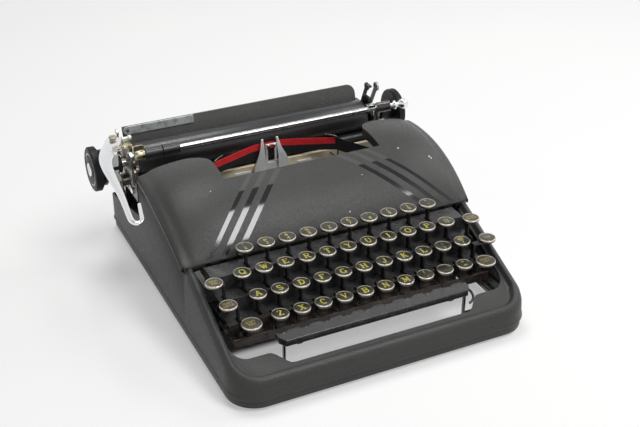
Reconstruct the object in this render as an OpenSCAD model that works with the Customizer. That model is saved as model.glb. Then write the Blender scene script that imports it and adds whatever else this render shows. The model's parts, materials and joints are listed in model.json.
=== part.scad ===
// Portable typewriter: a manual four-bank machine with a hinged ribbon cover,
// a sliding carriage and a type basket that drops for capital letters.
// Millimetres. +X is the typist's right, +Y the rear, +Z up, origin on the desk.

/* [Case] */
// Width of the case over its side panels
case_w = 271; // [266:1:290]
// Depth of the case from the front rail to the rear wall
case_d = 330; // [326:1:350]
// Height of the lower edge of the case above the desk, which is the foot height
case_edge_z = 10; // [9:0.5:11]
// Height of the front rail above the desk
front_rail_z = 25; // [22:0.5:28]
// Thickness of the case panels
panel_t = 2; // [1.4:0.1:2.6]
// Plan radius of the two front corners
corner_r = 26; // [16:1:34]
// Plan radius of the two rear corners
rear_corner_r = 7; // [5:1:14]
// Width of the flat ledge along each side of the keyboard
side_ledge = 16.5; // [14:0.5:17]
// Width of the flat ledge along the front of the keyboard
front_ledge = 16; // [12:0.5:17]
// Plan radius of the keyboard opening at its front corners
opening_r = 18; // [8:1:24]
// Width of the lower inner step of that ledge
ledge_step_w = 8; // [5:0.5:10]
// How far that step lies below the outer ledge
ledge_drop = 6; // [3:0.5:6.5]
// Depth of the turned-down flange round the keyboard opening
flange_h = 6; // [4:0.5:8]
// Height of the rear wall above the desk
rear_wall_z = 36; // [30:1:44]
// Height of the side panels just behind the ribbon cover
rear_deck_z = 61; // [54:1:62]

/* [Ribbon cover] */
// Distance from the front of the case back to the cover's front seam
seam_back = 112; // [110:1:114]
// Height of the front seam
seam_z = 72.5; // [70:0.5:75]
// Length of the cover from its front seam to its rear edge
cover_len = 108; // [100:1:110]
// How far the cover swells past the case on each side at its widest
cover_swell = 3.5; // [2:0.5:5]
// Radius of the cover's profile along the middle
crown_r = 98; // [96:1:104]
// Distance from the seam to the highest point of that profile
crown_reach = 82; // [76:1:84]
// Radius of the cover's profile along its side ridges
ridge_r = 170; // [160:1:190]
// Distance from the seam to the highest point of the side ridges
ridge_reach = 99; // [95:1:104]
// Half width of the level part of the cover between its shoulders
crown_flat = 84; // [80:1:95]
// Thickness of the cover
cover_t = 2; // [1.4:0.1:2.4]
// Height of the lip that the cover turns down over the side panels
cover_lip = 4; // [3:0.5:6]
// Gap between the cover and the case round the seam
seam_gap = 0.5; // [0.4:0.1:0.8]
// Half width of the aperture over the type basket
aperture_half = 75; // [70:1:78]
// Distance from the seam to the front edge of the aperture
aperture_back = 57; // [50:1:64]
// Radius of the cover's rounded corners at the rear of the aperture
aperture_r = 22; // [14:1:24]
// Depth of the flange round the aperture
aperture_flange = 10; // [6:1:12]

/* [Keyboard] */
// Spacing of the keys along a bank
key_pitch = 19.05; // [18.6:0.05:19.2]
// Distance from the front of the case back to the lowest bank
lower_bank_back = 50; // [49:0.5:52]
// Height of the key tops in the lowest bank
lower_bank_z = 50; // [48:0.5:52]
// Step from one bank back to the next
bank_step_y = 17.1; // [16.6:0.1:17.4]
// Rise from one bank to the next
bank_step_z = 12; // [11:0.25:12.5]
// Diameter of a character key
cap_d = 15; // [13:0.5:16]
// Diameter of a shift key
shift_cap_d = 17.5; // [16:0.5:18.5]
// Height of a key top
cap_h = 3.2; // [2.6:0.1:3.6]
// Thickness of a key lever
lever_t = 1.5; // [1.2:0.1:1.7]
// Depth of a key lever
lever_h = 5; // [4:0.25:5]
// Height of the underside of the key levers at the fulcrum
lever_z = 13; // [12.6:0.2:13.4]
// Height of the underside of the key levers under the keys
lever_front_z = 24; // [22:0.5:25]
// Length of a key stem along its lever
stem_l = 5; // [4:0.5:6]
// Diameter of the rod that the key levers turn on
fulcrum_d = 4; // [3:0.25:5]
// Drop from the key tops to the stepped plate under each bank
tread_drop = 17; // [16:0.5:18]
// Length of the space bar
space_l = 174; // [150:2:180]
// Width of the space bar from front to rear
space_w = 13.5; // [9:0.5:14]
// Height of the space bar's body
space_h = 6; // [4:0.5:7]
// Height of the top of the space bar
space_z = 42; // [40:0.5:44]

/* [Type basket] */
// Length of a typebar from its pivot to its type
typebar_l = 62; // [60:0.5:63]
// Number of typebars
typebar_count = 42; // [30:1:42]
// Angle between neighbouring typebars
typebar_step = 2.4; // [2.2:0.05:2.4]
// Lean of the type segment from upright
segment_lean = 17.5; // [15:0.5:19]
// Height of the printing point
print_z = 92.5; // [91:0.5:93.5]

/* [Carriage] */
// Distance from the cover's seam back to the platen's axis
platen_back = 158; // [157:0.5:160]
// Height of the platen's axis
platen_z = 95.5; // [95:0.5:97]
// Diameter of the platen
platen_d = 32; // [30:0.5:33]
// Length of the platen's rubber
platen_l = 233; // [200:1:235]
// Diameter of the platen's shaft
shaft_d = 8; // [6:0.5:9]
// Diameter of a platen knob
knob_d = 41; // [34:1:41]
// Thickness of a platen knob
knob_t = 8; // [6:0.5:10]
// Length of the carriage over its two knobs
knob_span = 315; // [308:1:330]
// Where the carriage stands from the middle of the case
carriage_rest_x = -7.5; // [-12:0.5:4]
// Length of the carriage between its end plates
carriage_l = 240; // [238:1:248]
// Thickness of an end plate
end_plate_t = 3; // [2.5:0.25:3.5]
// Diameter of a feed roller
feed_d = 10; // [9:0.5:10.5]
// Diameter of the bail rod
bail_rod_d = 5; // [4:0.25:6]
// Diameter of a bail roller
bail_roller_d = 10; // [9:0.5:11]
// Height of the paper table's top edge
table_z = 120; // [114:0.5:122]
// Spacing of the letters along a line, which is the pitch of the rack
letter_pitch = 2.54; // [2.3:0.02:2.6]

/* [Hidden] */
$fn = 48;

// Colours
crinkle_black = [0.09, 0.09, 0.09];
gloss_black = [0.05, 0.05, 0.05];
nickel = [0.72, 0.70, 0.66];
chrome = [0.85, 0.85, 0.86];
steel_grey = [0.55, 0.56, 0.57];
rubber_black = [0.06, 0.06, 0.06];
ribbon_red = [0.72, 0.05, 0.09];
brass_tone = [0.70, 0.58, 0.34];

// Shared clearances
run_gap = 0.05;
slide_gap = 0.5;
eps = 0.01;
far = 400;

// Case reference lines
front_y = -case_d / 2;
rear_y = case_d / 2;
side_x = case_w / 2;
inner_x = side_x - panel_t;
seam_y = front_y + seam_back;
ledge_end_y = seam_y - 1.6;
open_x = side_x - side_ledge;
open_y = front_y + front_ledge;
tab_x = open_x - 29;
tab_l = 5;

// Cover reference arcs
crown_cy = seam_y + crown_reach;
crown_cz = seam_z - sqrt(crown_r * crown_r - crown_reach * crown_reach);
ridge_cy = seam_y + ridge_reach;
ridge_cz = seam_z - sqrt(ridge_r * ridge_r - ridge_reach * ridge_reach);
cover_rear_y = seam_y + cover_len;
cover_half = side_x + 0.9;
shoulder_bend = 0.92;
cover_slices = 10;
cover_columns = 7;
pivot_y = seam_y + 3;
pivot_z = seam_z - 3;
lug_x = 112;
lug_t = 3;
hinge_pin_d = 4;
bracket_x = lug_x + lug_t + 0.4;
bracket_t = 2.5;
rim_r = ridge_r - cover_lip - seam_gap;
rim_end_y = cover_rear_y + 6;
relief_z = pivot_z - 3.8;

// Keyboard reference lines
frame_x = inner_x - 9.5;
bank_x0 = [-76.6, -88.3, -94.5, -85.1];
bank_keys = [10, 11, 11, 10];
lever_shift = [-2.85, -0.65, 0.75, 0.85];
lower_bank_y = front_y + lower_bank_back;
lever_pitch = key_pitch / 4;
lever_top = lever_z + lever_h;
fulcrum_y = rear_y - 45;
fulcrum_z = lever_z + lever_h / 2;
fulcrum_boss_d = fulcrum_d + 5;
lever_front_top = lever_front_z + lever_h;
bulkhead_y = ledge_end_y - seam_gap;
comb_t = 3;
comb_y = bulkhead_y - 2;
comb_slot = lever_t + 1;
comb_bottom_z = 4;
comb_top_z = lever_front_top + 5;
crank_y = comb_y + 12;
crank_l = 22;
tread_t = 1.2;
tread_half = bank_step_y / 2;
tread_front_y = lower_bank_y - 3.5;
apron_h = 4.5;
well_x = open_x - 1;
stem_back = [10, 0, 0, 0];
first_left_x = bank_x0[2] + lever_shift[2] - 2 * lever_pitch;
first_right_x = bank_x0[1] + lever_shift[1] + 10 * key_pitch + lever_pitch;
left_levers = [for (i = [0:2]) first_left_x - i * lever_pitch];
right_levers = [for (i = [0:2]) first_right_x + i * lever_pitch];
space_arm_t = 1.2;
space_arm_x = frame_x - 3;
space_leg_x = space_l / 2 - 4;
space_y = lower_bank_y - 26.5;

// Frame reference lines
frame_t = 3;
frame_top_z = 28;
frame_front_y = space_y + 5;
frame_rear_y = rear_y - 8;
cross_t = 4;
cross_z = 22;
cross_rear_top_z = 58;
foot_l = 60;
foot_r = 4.5;
rail_x = frame_x + frame_t;

// Platen and basket reference points
platen_y = seam_y + platen_back;
platen_r = platen_d / 2;
shaft_r = shaft_d / 2;
rail_front_y = platen_y - 25.5;
rail_front_t = 3.5;
rail_front_z = 70;
rail_front_h = 9;
rail_rear_y = platen_y + 32;
rail_rear_t = 6;
rail_rear_z = 66;
rail_rear_h = 8;
bed_y0 = rail_front_y + rail_front_t + slide_gap;
bed_y1 = rail_rear_y - slide_gap;
bed_z = 64;
bed_t = 3;
bed_x0 = carriage_rest_x - carriage_l / 2;
bed_x1 = carriage_rest_x + carriage_l / 2;
end_left_x = bed_x0 - end_plate_t;
end_right_x = bed_x1 + end_plate_t;
knob_left_x = carriage_rest_x - knob_span / 2 - 1;
knob_right_x = carriage_rest_x + knob_span / 2 - 1;
roller_x0 = carriage_rest_x - platen_l / 2;
roller_x1 = carriage_rest_x + platen_l / 2;
print_y = platen_y - platen_r - 6.5;
segment_in_r = typebar_l - 7;
segment_out_r = typebar_l + 4.5;
segment_half_t = 4;
bar_t = 1.2;
bar_w = 4.5;
slug_h = 4;
bar_slot = bar_t + 0.6;
first_bar = -floor(typebar_count / 2);
guide_y = rail_front_y - 3.5;
guide_t = 1.5;
guide_bend_z = print_z - 6.5;
guide_tip_z = print_z + 10.5;
guide_tip_lean = 8;
sector_half = typebar_step * typebar_count / 2 + 4;
finger_in_x = 6.5;
cross_plate_z = print_z - segment_in_r * cos(sector_half) + 1;
cross_plate_h = 7;
guide_post_x = segment_out_r - 2;

// Feed rollers stand at 45 degrees from the platen's axis and the bail a little lower
diag = sqrt(0.5);
feed_r = feed_d / 2;
feed_offset = (platen_r + feed_r + 0.3) * diag;
bail_r = bail_roller_d / 2;
bail_tilt = 38.5;
bail_reach = platen_r + bail_r + 0.3;
bail_y = platen_y - bail_reach * cos(bail_tilt);
bail_z = platen_z + bail_reach * sin(bail_tilt);
bail_pivot_y = platen_y - 17;
bail_pivot_z = platen_z - 9.5;
bail_arm_t = 2;
bail_arm_gap = 1;
stud_r = 2;
rear_ear_z = 76;
rear_ear_h = 12;
margin_y = rail_rear_y + 2;
margin_t = 5;
margin_h = 6;
margin_z = rear_ear_z + 4;

// Escapement
pinion_teeth = 24;
pinion_r = pinion_teeth * letter_pitch / (2 * PI);
rack_y = platen_y + 1;
rack_t = 4;
rack_h = 6;
tooth_h = 0.5;
pinion_z = bed_z - rack_h + tooth_h - pinion_r;
drum_r = 17;
drum_x = -78;
drum_z = 42;
cross_rear_y = rail_rear_y + 9;
cross_mid_y = rack_y + rack_t + 3;

function top_line(y) = front_rail_z + (seam_z - front_rail_z) * (y - front_y) / seam_back;
function bank_y(r) = lower_bank_y + r * bank_step_y;
function bank_z(r) = lower_bank_z + r * bank_step_z;
function key_x(r, i) = bank_x0[r] + i * key_pitch;
function lever_x(r, i) = key_x(r, i) + lever_shift[r];
function all_levers() = concat(
    [for (r = [0:3]) for (i = [0:bank_keys[r] - 1]) lever_x(r, i)], left_levers, right_levers,
    [-space_arm_x, space_arm_x]);
function bar_angle(i) = i * typebar_step;

// Cover surface: an arc along the middle, a flatter arc along each side ridge
function arc_z(y, cy, cz, r) = cz + sqrt(max(0, r * r - (y - cy) * (y - cy)));
function cover_half_at(y) = cover_half + (cover_swell - 0.9) * sin(162 * min(1, max(0, (y - seam_y) / cover_len)));
function shoulder(t) = (1 - sqrt(1 - pow(shoulder_bend * t, 2))) / (1 - sqrt(1 - pow(shoulder_bend, 2)));
function cover_z(y, t, inset) =
    let (top = arc_z(y, crown_cy, crown_cz, crown_r - inset), side = arc_z(y, ridge_cy, ridge_cz, ridge_r - inset))
    top - max(0, top - side) * shoulder(t);
function cover_arch(y, inset, base) =
    let (hw = cover_half_at(y) - inset, n = cover_columns,
         right = [for (i = [0:n]) [crown_flat + (hw - crown_flat) * i / n, cover_z(y, i / n, inset)]],
         left = [for (i = [n:-1:0]) [-right[i][0], right[i][1]]])
    concat([[-hw, base]], left, right, [[hw, base]]);

// Placing helpers: a profile drawn in Y and Z, a plate drawn in X and Z, a rod along X or Y
module x_slab(x0, x1) { translate([x0, 0, 0]) rotate([90, 0, 90]) linear_extrude(x1 - x0) children(); }
module y_slab(y0, y1) { translate([0, y1, 0]) rotate([90, 0, 0]) linear_extrude(y1 - y0) children(); }
module x_rod(x0, x1, r, y, z) { translate([x0, y, z]) rotate([0, 90, 0]) cylinder(h = x1 - x0, r = r); }
module y_rod(y0, y1, r, x, z) { translate([x, y1, z]) rotate([90, 0, 0]) cylinder(h = y1 - y0, r = r); }
module block(x0, x1, y0, y1, z0, z1) { translate([x0, y0, z0]) cube([x1 - x0, y1 - y0, z1 - z0]); }
module rect(a0, a1, b0, b1) { translate([a0, b0]) square([a1 - a0, b1 - b0]); }
module mirror_pair() { children(); mirror([1, 0, 0]) children(); }
module basket_frame() { translate([0, print_y, print_z]) rotate([-segment_lean, 0, 0]) children(); }

// Case
module plan_2d(g) {
    rect(-side_x + g, side_x - g, front_y + corner_r, rear_y - rear_corner_r);
    rect(-side_x + corner_r, side_x - corner_r, front_y + g, front_y + corner_r + eps);
    rect(-side_x + rear_corner_r, side_x - rear_corner_r, rear_y - rear_corner_r - eps, rear_y - g);
    for (s = [-1, 1]) {
        translate([s * (side_x - corner_r), front_y + corner_r]) circle(corner_r - g);
        translate([s * (side_x - rear_corner_r), rear_y - rear_corner_r]) circle(rear_corner_r - g);
    }
}

module opening_2d(g) {
    y0 = open_y + tab_l;
    rect(-open_x - g, open_x + g, y0 + opening_r, ledge_end_y + g);
    rect(-open_x + opening_r, open_x - opening_r, y0 - g, y0 + opening_r + eps);
    rect(-tab_x - g, tab_x + g, open_y - g, y0 + eps);
    for (s = [-1, 1])
        translate([s * (open_x - opening_r), y0 + opening_r]) circle(opening_r + g);
}

module side_2d() {
    polygon([[front_y, case_edge_z], [front_y, front_rail_z], [ledge_end_y, top_line(ledge_end_y)],
        [ledge_end_y, case_edge_z]]);
    difference() {
        intersection() {
            translate([ridge_cy, ridge_cz]) circle(rim_r, $fn = 96);
            rect(ledge_end_y - eps, rim_end_y, case_edge_z, far);
        }
        rect(ledge_end_y, pivot_y + 4, relief_z, far);
    }
    polygon([[rim_end_y - eps, case_edge_z], [rim_end_y - eps, rear_deck_z], [rear_y, rear_wall_z],
        [rear_y, case_edge_z]]);
}

module hollow_2d() {
    polygon([[front_y, -1], [front_y, front_rail_z - panel_t], [ledge_end_y, top_line(ledge_end_y) - panel_t],
        [ledge_end_y, far], [rear_y, far], [rear_y, -1]]);
}

// Everything in front of the seam that lies between two depths below the ledge line
module ledge_band(d0, d1) {
    x_slab(-side_x, side_x) polygon([[front_y, front_rail_z - d0], [ledge_end_y, top_line(ledge_end_y) - d0],
        [ledge_end_y, top_line(ledge_end_y) - d1], [front_y, front_rail_z - d1]]);
}

// The turned-in skirt below the bead round the lower edge
skirt_z = 3;
skirt_in = 0.8;
skirt_t = 1.6;

module case() {
    color(crinkle_black) {
        difference() {
            intersection() {
                translate([0, 0, case_edge_z]) linear_extrude(far) plan_2d(0);
                x_slab(-side_x, side_x) side_2d();
            }
            intersection() {
                translate([0, 0, -1]) linear_extrude(far) plan_2d(panel_t);
                x_slab(-side_x, side_x) hollow_2d();
            }
            intersection() {
                linear_extrude(far) opening_2d(ledge_step_w);
                ledge_band(-far, panel_t + eps);
            }
        }
        translate([0, 0, skirt_z]) linear_extrude(case_edge_z - skirt_z + 0.6) difference() {
            plan_2d(skirt_in);
            plan_2d(skirt_in + skirt_t);
        }
        intersection() {
            linear_extrude(far) difference() {
                opening_2d(ledge_step_w + panel_t);
                opening_2d(ledge_step_w);
            }
            ledge_band(panel_t / 2, ledge_drop + panel_t);
        }
        intersection() {
            linear_extrude(far) difference() {
                opening_2d(ledge_step_w + eps);
                opening_2d(0);
            }
            ledge_band(ledge_drop, ledge_drop + panel_t);
        }
        intersection() {
            linear_extrude(far) difference() {
                opening_2d(panel_t);
                opening_2d(0);
            }
            ledge_band(ledge_drop + panel_t / 2, ledge_drop + flange_h);
        }
    }
}

// Inner frame
module frame_plate_2d() {
    rect(frame_front_y, frame_rear_y, case_edge_z, frame_top_z);
    rect(rail_front_y, rail_front_y + rail_front_t, frame_top_z - 1, rail_front_z);
    rect(rail_rear_y, rail_rear_y + rail_rear_t, frame_top_z - 1, rail_rear_z);
}

module frame() {
    color(steel_grey) {
        mirror_pair() x_slab(frame_x, frame_x + frame_t) frame_plate_2d();
        block(-frame_x - eps, frame_x + eps, cross_rear_y, cross_rear_y + cross_t, cross_z, cross_rear_top_z);
        block(-frame_x - eps, frame_x + eps, cross_mid_y, cross_mid_y + cross_t, cross_z, frame_top_z);
        block(-12, 12, cross_mid_y, cross_mid_y + cross_t, frame_top_z - 1, pinion_z + 8);
        y_rod(rack_y - 1, cross_mid_y + 1, stud_r, 0, pinion_z);
        y_rod(cross_rear_y - 14, cross_rear_y + 1, stud_r, drum_x, drum_z);
    }
}

module feet() {
    color(rubber_black) mirror_pair() {
        block(frame_x, side_x - skirt_in - skirt_t - 0.5, rear_y - foot_l - 6, rear_y - 6, 0, case_edge_z);
        translate([frame_x + 3, space_y + 4, 0]) cylinder(r = foot_r, h = case_edge_z);
    }
}

module lever_comb() {
    color(gloss_black) difference() {
        block(-frame_x, frame_x, comb_y, comb_y + comb_t, comb_bottom_z, comb_top_z);
        for (x = all_levers())
            block(x - comb_slot / 2, x + comb_slot / 2, comb_y - 1, comb_y + comb_t + 1,
                comb_bottom_z + 2.5, lever_front_top + 2);
    }
}

module stem_slot(x, y, w) { block(x - w / 2 - 0.8, x + w / 2 + 0.8, y - stem_l / 2 - 4, y + stem_l / 2 + 1, 0, far); }

module key_well() {
    color(gloss_black) difference() {
        union() {
            for (r = [0:3]) {
                z = bank_z(r) - tread_drop;
                y0 = r == 0 ? tread_front_y : bank_y(r) - tread_half;
                y1 = r == 3 ? bulkhead_y : bank_y(r) + tread_half;
                z_next = r == 3 ? top_line(ledge_end_y) - panel_t - seam_gap : bank_z(r + 1) - tread_drop;
                block(-well_x, well_x, y0, y1, z - tread_t, z);
                block(-well_x, well_x, y1 - tread_t, y1, z - tread_t, z_next);
            }
            block(-well_x, well_x, tread_front_y, tread_front_y + tread_t, bank_z(0) - tread_drop - 3.5,
                bank_z(0) - tread_drop + apron_h);
            block(-well_x, well_x, bulkhead_y - tread_t, bulkhead_y, comb_top_z, bank_z(3) - tread_drop);
        }
        for (r = [0:3]) for (i = [0:bank_keys[r] - 1]) stem_slot(lever_x(r, i), bank_y(r) + stem_back[r], lever_t);
        for (k = function_keys()) stem_slot(k[4], k[1] + k[5], lever_t);
    }
}

module fulcrum_rod() { color(nickel) x_rod(-frame_x, frame_x, fulcrum_d / 2, fulcrum_y, fulcrum_z); }

module carriage_rails() {
    color(brass_tone) {
        block(-rail_x, rail_x, rail_front_y, rail_front_y + rail_front_t, rail_front_z, rail_front_z + rail_front_h);
        block(-rail_x, rail_x, rail_rear_y, rail_rear_y + rail_rear_t, rail_rear_z, rail_rear_z + rail_rear_h);
    }
}

module basket_guides() {
    color(steel_grey) mirror_pair()
        block(guide_post_x, guide_post_x + 4, rail_front_y, rail_front_y + rail_front_t, 32, rail_front_z);
}

// Ribbon
spool_x = side_x - 32;
spool_y = seam_y + 68;
spool_r = 24;
spool_z = 85.5;
spool_h = 15.5;
cup_r = spool_r + 3;
cup_h = 3;
hub_r = 4;

module spool_cups() {
    color(gloss_black) mirror_pair() {
        translate([spool_x, spool_y, spool_z - 4]) difference() {
            cylinder(r = cup_r, h = cup_h);
            translate([0, 0, cup_h / 2]) cylinder(r = cup_r - 1.2, h = cup_h);
        }
        translate([spool_x, spool_y, spool_z - 4]) cylinder(r = hub_r - run_gap, h = spool_h + 2);
        block(frame_x, frame_x + frame_t, spool_y - 9, spool_y + 9, frame_top_z, spool_z - 3.5);
    }
}

module spool(x) {
    translate([x, spool_y, spool_z - 2]) difference() {
        union() {
            cylinder(r = spool_r, h = 1);
            cylinder(r = spool_r - 5, h = spool_h);
            translate([0, 0, spool_h - 1]) cylinder(r = spool_r, h = 1);
        }
        translate([0, 0, -1]) cylinder(r = hub_r, h = spool_h + 2);
    }
}

module spool_left() { color(steel_grey) spool(-spool_x); }
module spool_right() { color(steel_grey) spool(spool_x); }

ribbon_h = 12.7;
ribbon_t = 0.5;
ribbon_z = print_z - 7.5;
ribbon_mid_y = platen_y - platen_r - 5;
ribbon_mid_x = 14;
ribbon_turn_x = 62;
ribbon_turn_y = ribbon_mid_y - 18;
ribbon_end_x = spool_x - 19;
ribbon_end_y = spool_y + 9;

module strip(x0, y0, x1, y1) {
    l = norm([x1 - x0, y1 - y0]);
    translate([x0, y0, ribbon_z]) rotate([0, 0, atan2(y1 - y0, x1 - x0)])
        translate([-ribbon_t / 2, -ribbon_t / 2, 0]) cube([l + ribbon_t, ribbon_t, ribbon_h]);
}

module ribbon() {
    color(ribbon_red) {
        strip(-ribbon_mid_x, ribbon_mid_y, ribbon_mid_x, ribbon_mid_y);
        mirror_pair() {
            strip(ribbon_mid_x, ribbon_mid_y, ribbon_turn_x, ribbon_turn_y);
            strip(ribbon_turn_x, ribbon_turn_y, ribbon_end_x, ribbon_end_y);
        }
    }
}

vibrator_half = 5.5;

module ribbon_vibrator() {
    y0 = guide_y + guide_t + 0.4;
    color(steel_grey) y_slab(y0, y0 + 1.2) difference() {
        union() {
            rect(-vibrator_half, vibrator_half, print_z - 27, print_z + 6);
            polygon([[-vibrator_half - 3.5, print_z - 27], [vibrator_half + 3.5, print_z - 27],
                [vibrator_half, print_z - 15], [-vibrator_half, print_z - 15]]);
        }
        rect(-vibrator_half + 2.1, vibrator_half - 2.1, print_z - 13, print_z + 4.5);
    }
}

// Ribbon cover
module dome(inset) {
    y0 = seam_y + inset;
    y1 = cover_rear_y + (inset > 0 ? 2 : 0);
    hull() for (i = [0:cover_slices]) {
        y = y0 + (y1 - y0) * i / cover_slices;
        translate([0, y, 0]) rotate([90, 0, 0]) linear_extrude(2 * eps) polygon(cover_arch(y, inset, 40));
    }
}

module aperture_2d(g) {
    y0 = seam_y + aperture_back - g;
    rect(-aperture_half - g, aperture_half + g, y0, far);
    difference() {
        rect(-aperture_half - aperture_r, aperture_half + aperture_r, cover_rear_y - aperture_r, far);
        for (s = [-1, 1])
            translate([s * (aperture_half + aperture_r), cover_rear_y - aperture_r]) circle(aperture_r - g);
    }
}

module ribbon_cover() {
    color(crinkle_black) difference() {
        union() {
            difference() {
                dome(0);
                dome(cover_t);
                linear_extrude(far) aperture_2d(0);
            }
            intersection() {
                difference() {
                    dome(0);
                    dome(aperture_flange);
                }
                linear_extrude(far) difference() {
                    aperture_2d(1.6);
                    aperture_2d(0);
                }
            }
            intersection() {
                dome(cover_t / 2);
                mirror_pair() block(lug_x, lug_x + lug_t, pivot_y - 4, pivot_y + 7, pivot_z - 4, far);
            }
        }
        difference() {
            x_slab(-far, far) translate([ridge_cy, ridge_cz]) circle(ridge_r - cover_lip, $fn = 96);
            mirror_pair() block(lug_x - eps, lug_x + lug_t + eps, seam_y + cover_t, pivot_y + 7, 0, far);
        }
        x_rod(-far, far, hinge_pin_d / 2 + run_gap, pivot_y, pivot_z);
        mirror_pair() block(bracket_x - 0.3, bracket_x + bracket_t + 0.3, seam_y - 1, pivot_y, 0, pivot_z + 1.2);
    }
}

module cover_brackets() {
    color(nickel) mirror_pair() {
        x_slab(bracket_x, bracket_x + bracket_t)
            polygon([[bulkhead_y, pivot_z - 10], [pivot_y + 4, pivot_z - 10], [pivot_y + 4, pivot_z - 0.5],
                [pivot_y - 1, pivot_z - 0.8], [bulkhead_y, pivot_z - 3]]);
        x_rod(lug_x - 2, bracket_x + 1, hinge_pin_d / 2, pivot_y, pivot_z);
    }
}

// Keys: each entry is the cap's x, y, top z and diameter, then its lever's x
function function_keys() = [
    [-120.5, bank_y(2) - 5, bank_z(2), cap_d, left_levers[2], 0],
    [-115.5, bank_y(1) - 5, bank_z(1), cap_d, left_levers[1], 0],
    [-102.7, bank_y(0) - 3.3, bank_z(0), shift_cap_d, left_levers[0], stem_back[0]],
    [118.7, bank_y(2) - 4, bank_z(2), cap_d, right_levers[2], 0],
    [124.8, bank_y(1) - 5, bank_z(1), cap_d, right_levers[1], 0],
    [114.3, bank_y(0) - 3.3, bank_z(0), shift_cap_d, right_levers[0], stem_back[0]]];

module lever_2d(y0, z0, z1) {
    polygon([[y0, z0], [crank_y, z0], [crank_y + crank_l, lever_z], [fulcrum_y, lever_z],
        [fulcrum_y, lever_top], [crank_y + crank_l + 3, lever_top], [crank_y + 3, z1], [y0, z1]]);
}

module key(cx, cy, cz, d, lx, back) {
    bridge_h = 1.5;
    sy = cy + back;
    half_t = lever_t / 2;
    under = cz - cap_h + eps;
    color(nickel) translate([cx, cy, cz - cap_h]) cylinder(d = d, h = cap_h);
    color(gloss_black) difference() {
        union() {
            block(lx - half_t, lx + half_t, sy - stem_l / 2, sy + stem_l / 2, lever_front_top - 1, under);
            block(lx - half_t, lx + half_t, cy - 1, sy, under - 3, under);
            block(min(cx, lx) - half_t, max(cx, lx) + half_t, cy - stem_l / 2, cy + stem_l / 2, under - bridge_h, under);
            x_slab(lx - half_t, lx + half_t) lever_2d(sy - stem_l / 2 - 1, lever_front_z, lever_front_top);
            x_rod(lx - half_t, lx + half_t, fulcrum_boss_d / 2, fulcrum_y, fulcrum_z);
        }
        x_rod(lx - lever_t, lx + lever_t, fulcrum_d / 2 + run_gap, fulcrum_y, fulcrum_z);
    }
}

module key_bank(r) {
    for (i = [0:bank_keys[r] - 1])
        key(key_x(r, i), bank_y(r), bank_z(r), cap_d, lever_x(r, i), stem_back[r]);
}

module function_key(n) {
    k = function_keys()[n];
    key(k[0], k[1], k[2], k[3], k[4], k[5]);
}

module keys_lower() { key_bank(0); }
module keys_home() { key_bank(1); }
module keys_upper() { key_bank(2); }
module keys_numbers() { key_bank(3); }
module margin_release_key() { function_key(0); }
module shift_lock_key() { function_key(1); }
module shift_key_left() { function_key(2); }
module back_spacer_key() { function_key(3); }
module tabulator_key() { function_key(4); }
module shift_key_right() { function_key(5); }

module space_bar() {
    leg_y = space_y + 4;
    side = space_l / 2;
    leg_t = 3;
    wire_z = lever_z + 3;
    color(gloss_black) {
        translate([0, 0, space_z - space_h]) linear_extrude(space_h)
            polygon([[-side, space_y + space_w], [-side, space_y + 6], [-side + 4, space_y],
                [side - 4, space_y], [side, space_y + 6], [side, space_y + space_w]]);
        mirror_pair() {
            block(space_leg_x - 16, space_leg_x - 11, leg_y, leg_y + leg_t, space_z - space_h - 4, space_z - space_h + 1);
            block(space_leg_x - 1, space_leg_x + 1, leg_y, leg_y + leg_t, lever_z, space_z - space_h + 1);
            block(space_leg_x - 1, space_arm_x + space_arm_t / 2, leg_y, leg_y + leg_t, lever_z, wire_z);
            difference() {
                union() {
                    block(space_arm_x - space_arm_t / 2, space_arm_x + space_arm_t / 2, leg_y, fulcrum_y,
                        lever_z, lever_top - 1);
                    x_rod(space_arm_x - space_arm_t / 2, space_arm_x + space_arm_t / 2, fulcrum_boss_d / 2,
                        fulcrum_y, fulcrum_z);
                }
                x_rod(space_arm_x - 2, space_arm_x + 2, fulcrum_d / 2 + run_gap, fulcrum_y, fulcrum_z);
            }
        }
    }
}

// Type basket

module sector_2d(r_in, r_out) {
    reach = 2 * r_out;
    intersection() {
        difference() {
            circle(r_out);
            circle(r_in);
        }
        polygon([[0, 0], [-reach * sin(sector_half), -reach * cos(sector_half)], [0, -3 * reach],
            [reach * sin(sector_half), -reach * cos(sector_half)]]);
    }
}

module type_segment() {
    ear_x = guide_post_x - 0.3;
    plate_top = cross_plate_z + cross_plate_h;
    color(steel_grey) {
        basket_frame() difference() {
            y_slab(-segment_half_t, segment_half_t) sector_2d(segment_in_r, segment_out_r);
            for (i = [first_bar:first_bar + typebar_count - 1]) rotate([0, bar_angle(i), 0])
                block(-bar_slot / 2, bar_slot / 2, -far, far, -segment_out_r - 1, -segment_in_r + 1);
        }
        basket_frame() y_slab(segment_half_t - eps, segment_half_t + 2.5) sector_2d(segment_out_r - 3, segment_out_r);
        basket_frame() for (s = [-1, 1]) rotate([0, s * sector_half, 0])
            block(-1.3, 1.3, -segment_half_t, segment_half_t, -segment_out_r, -segment_in_r + cross_plate_h);
        mirror_pair() {
            block(finger_in_x, ear_x, guide_y - 3, guide_y, cross_plate_z, plate_top);
            block(ear_x - 4, ear_x, guide_y - 1, rail_front_y + rail_front_t, cross_plate_z, plate_top);
        }
    }
}

module typebar() {
    translate([-bar_t / 2, -typebar_l, -typebar_l - bar_w / 2]) cube([bar_t, typebar_l, bar_w]);
    x_rod(-bar_t / 2, bar_t / 2, bar_w / 2, 0, -typebar_l);
    translate([-1, -typebar_l - 2.5, -typebar_l]) cube([2, 5, bar_w / 2 + slug_h]);
}

module typebars() {
    color(steel_grey) basket_frame()
        for (i = [first_bar:first_bar + typebar_count - 1]) if (i != 0) rotate([0, bar_angle(i), 0]) typebar();
}

module strike_typebar() { color(chrome) basket_frame() typebar(); }

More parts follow.
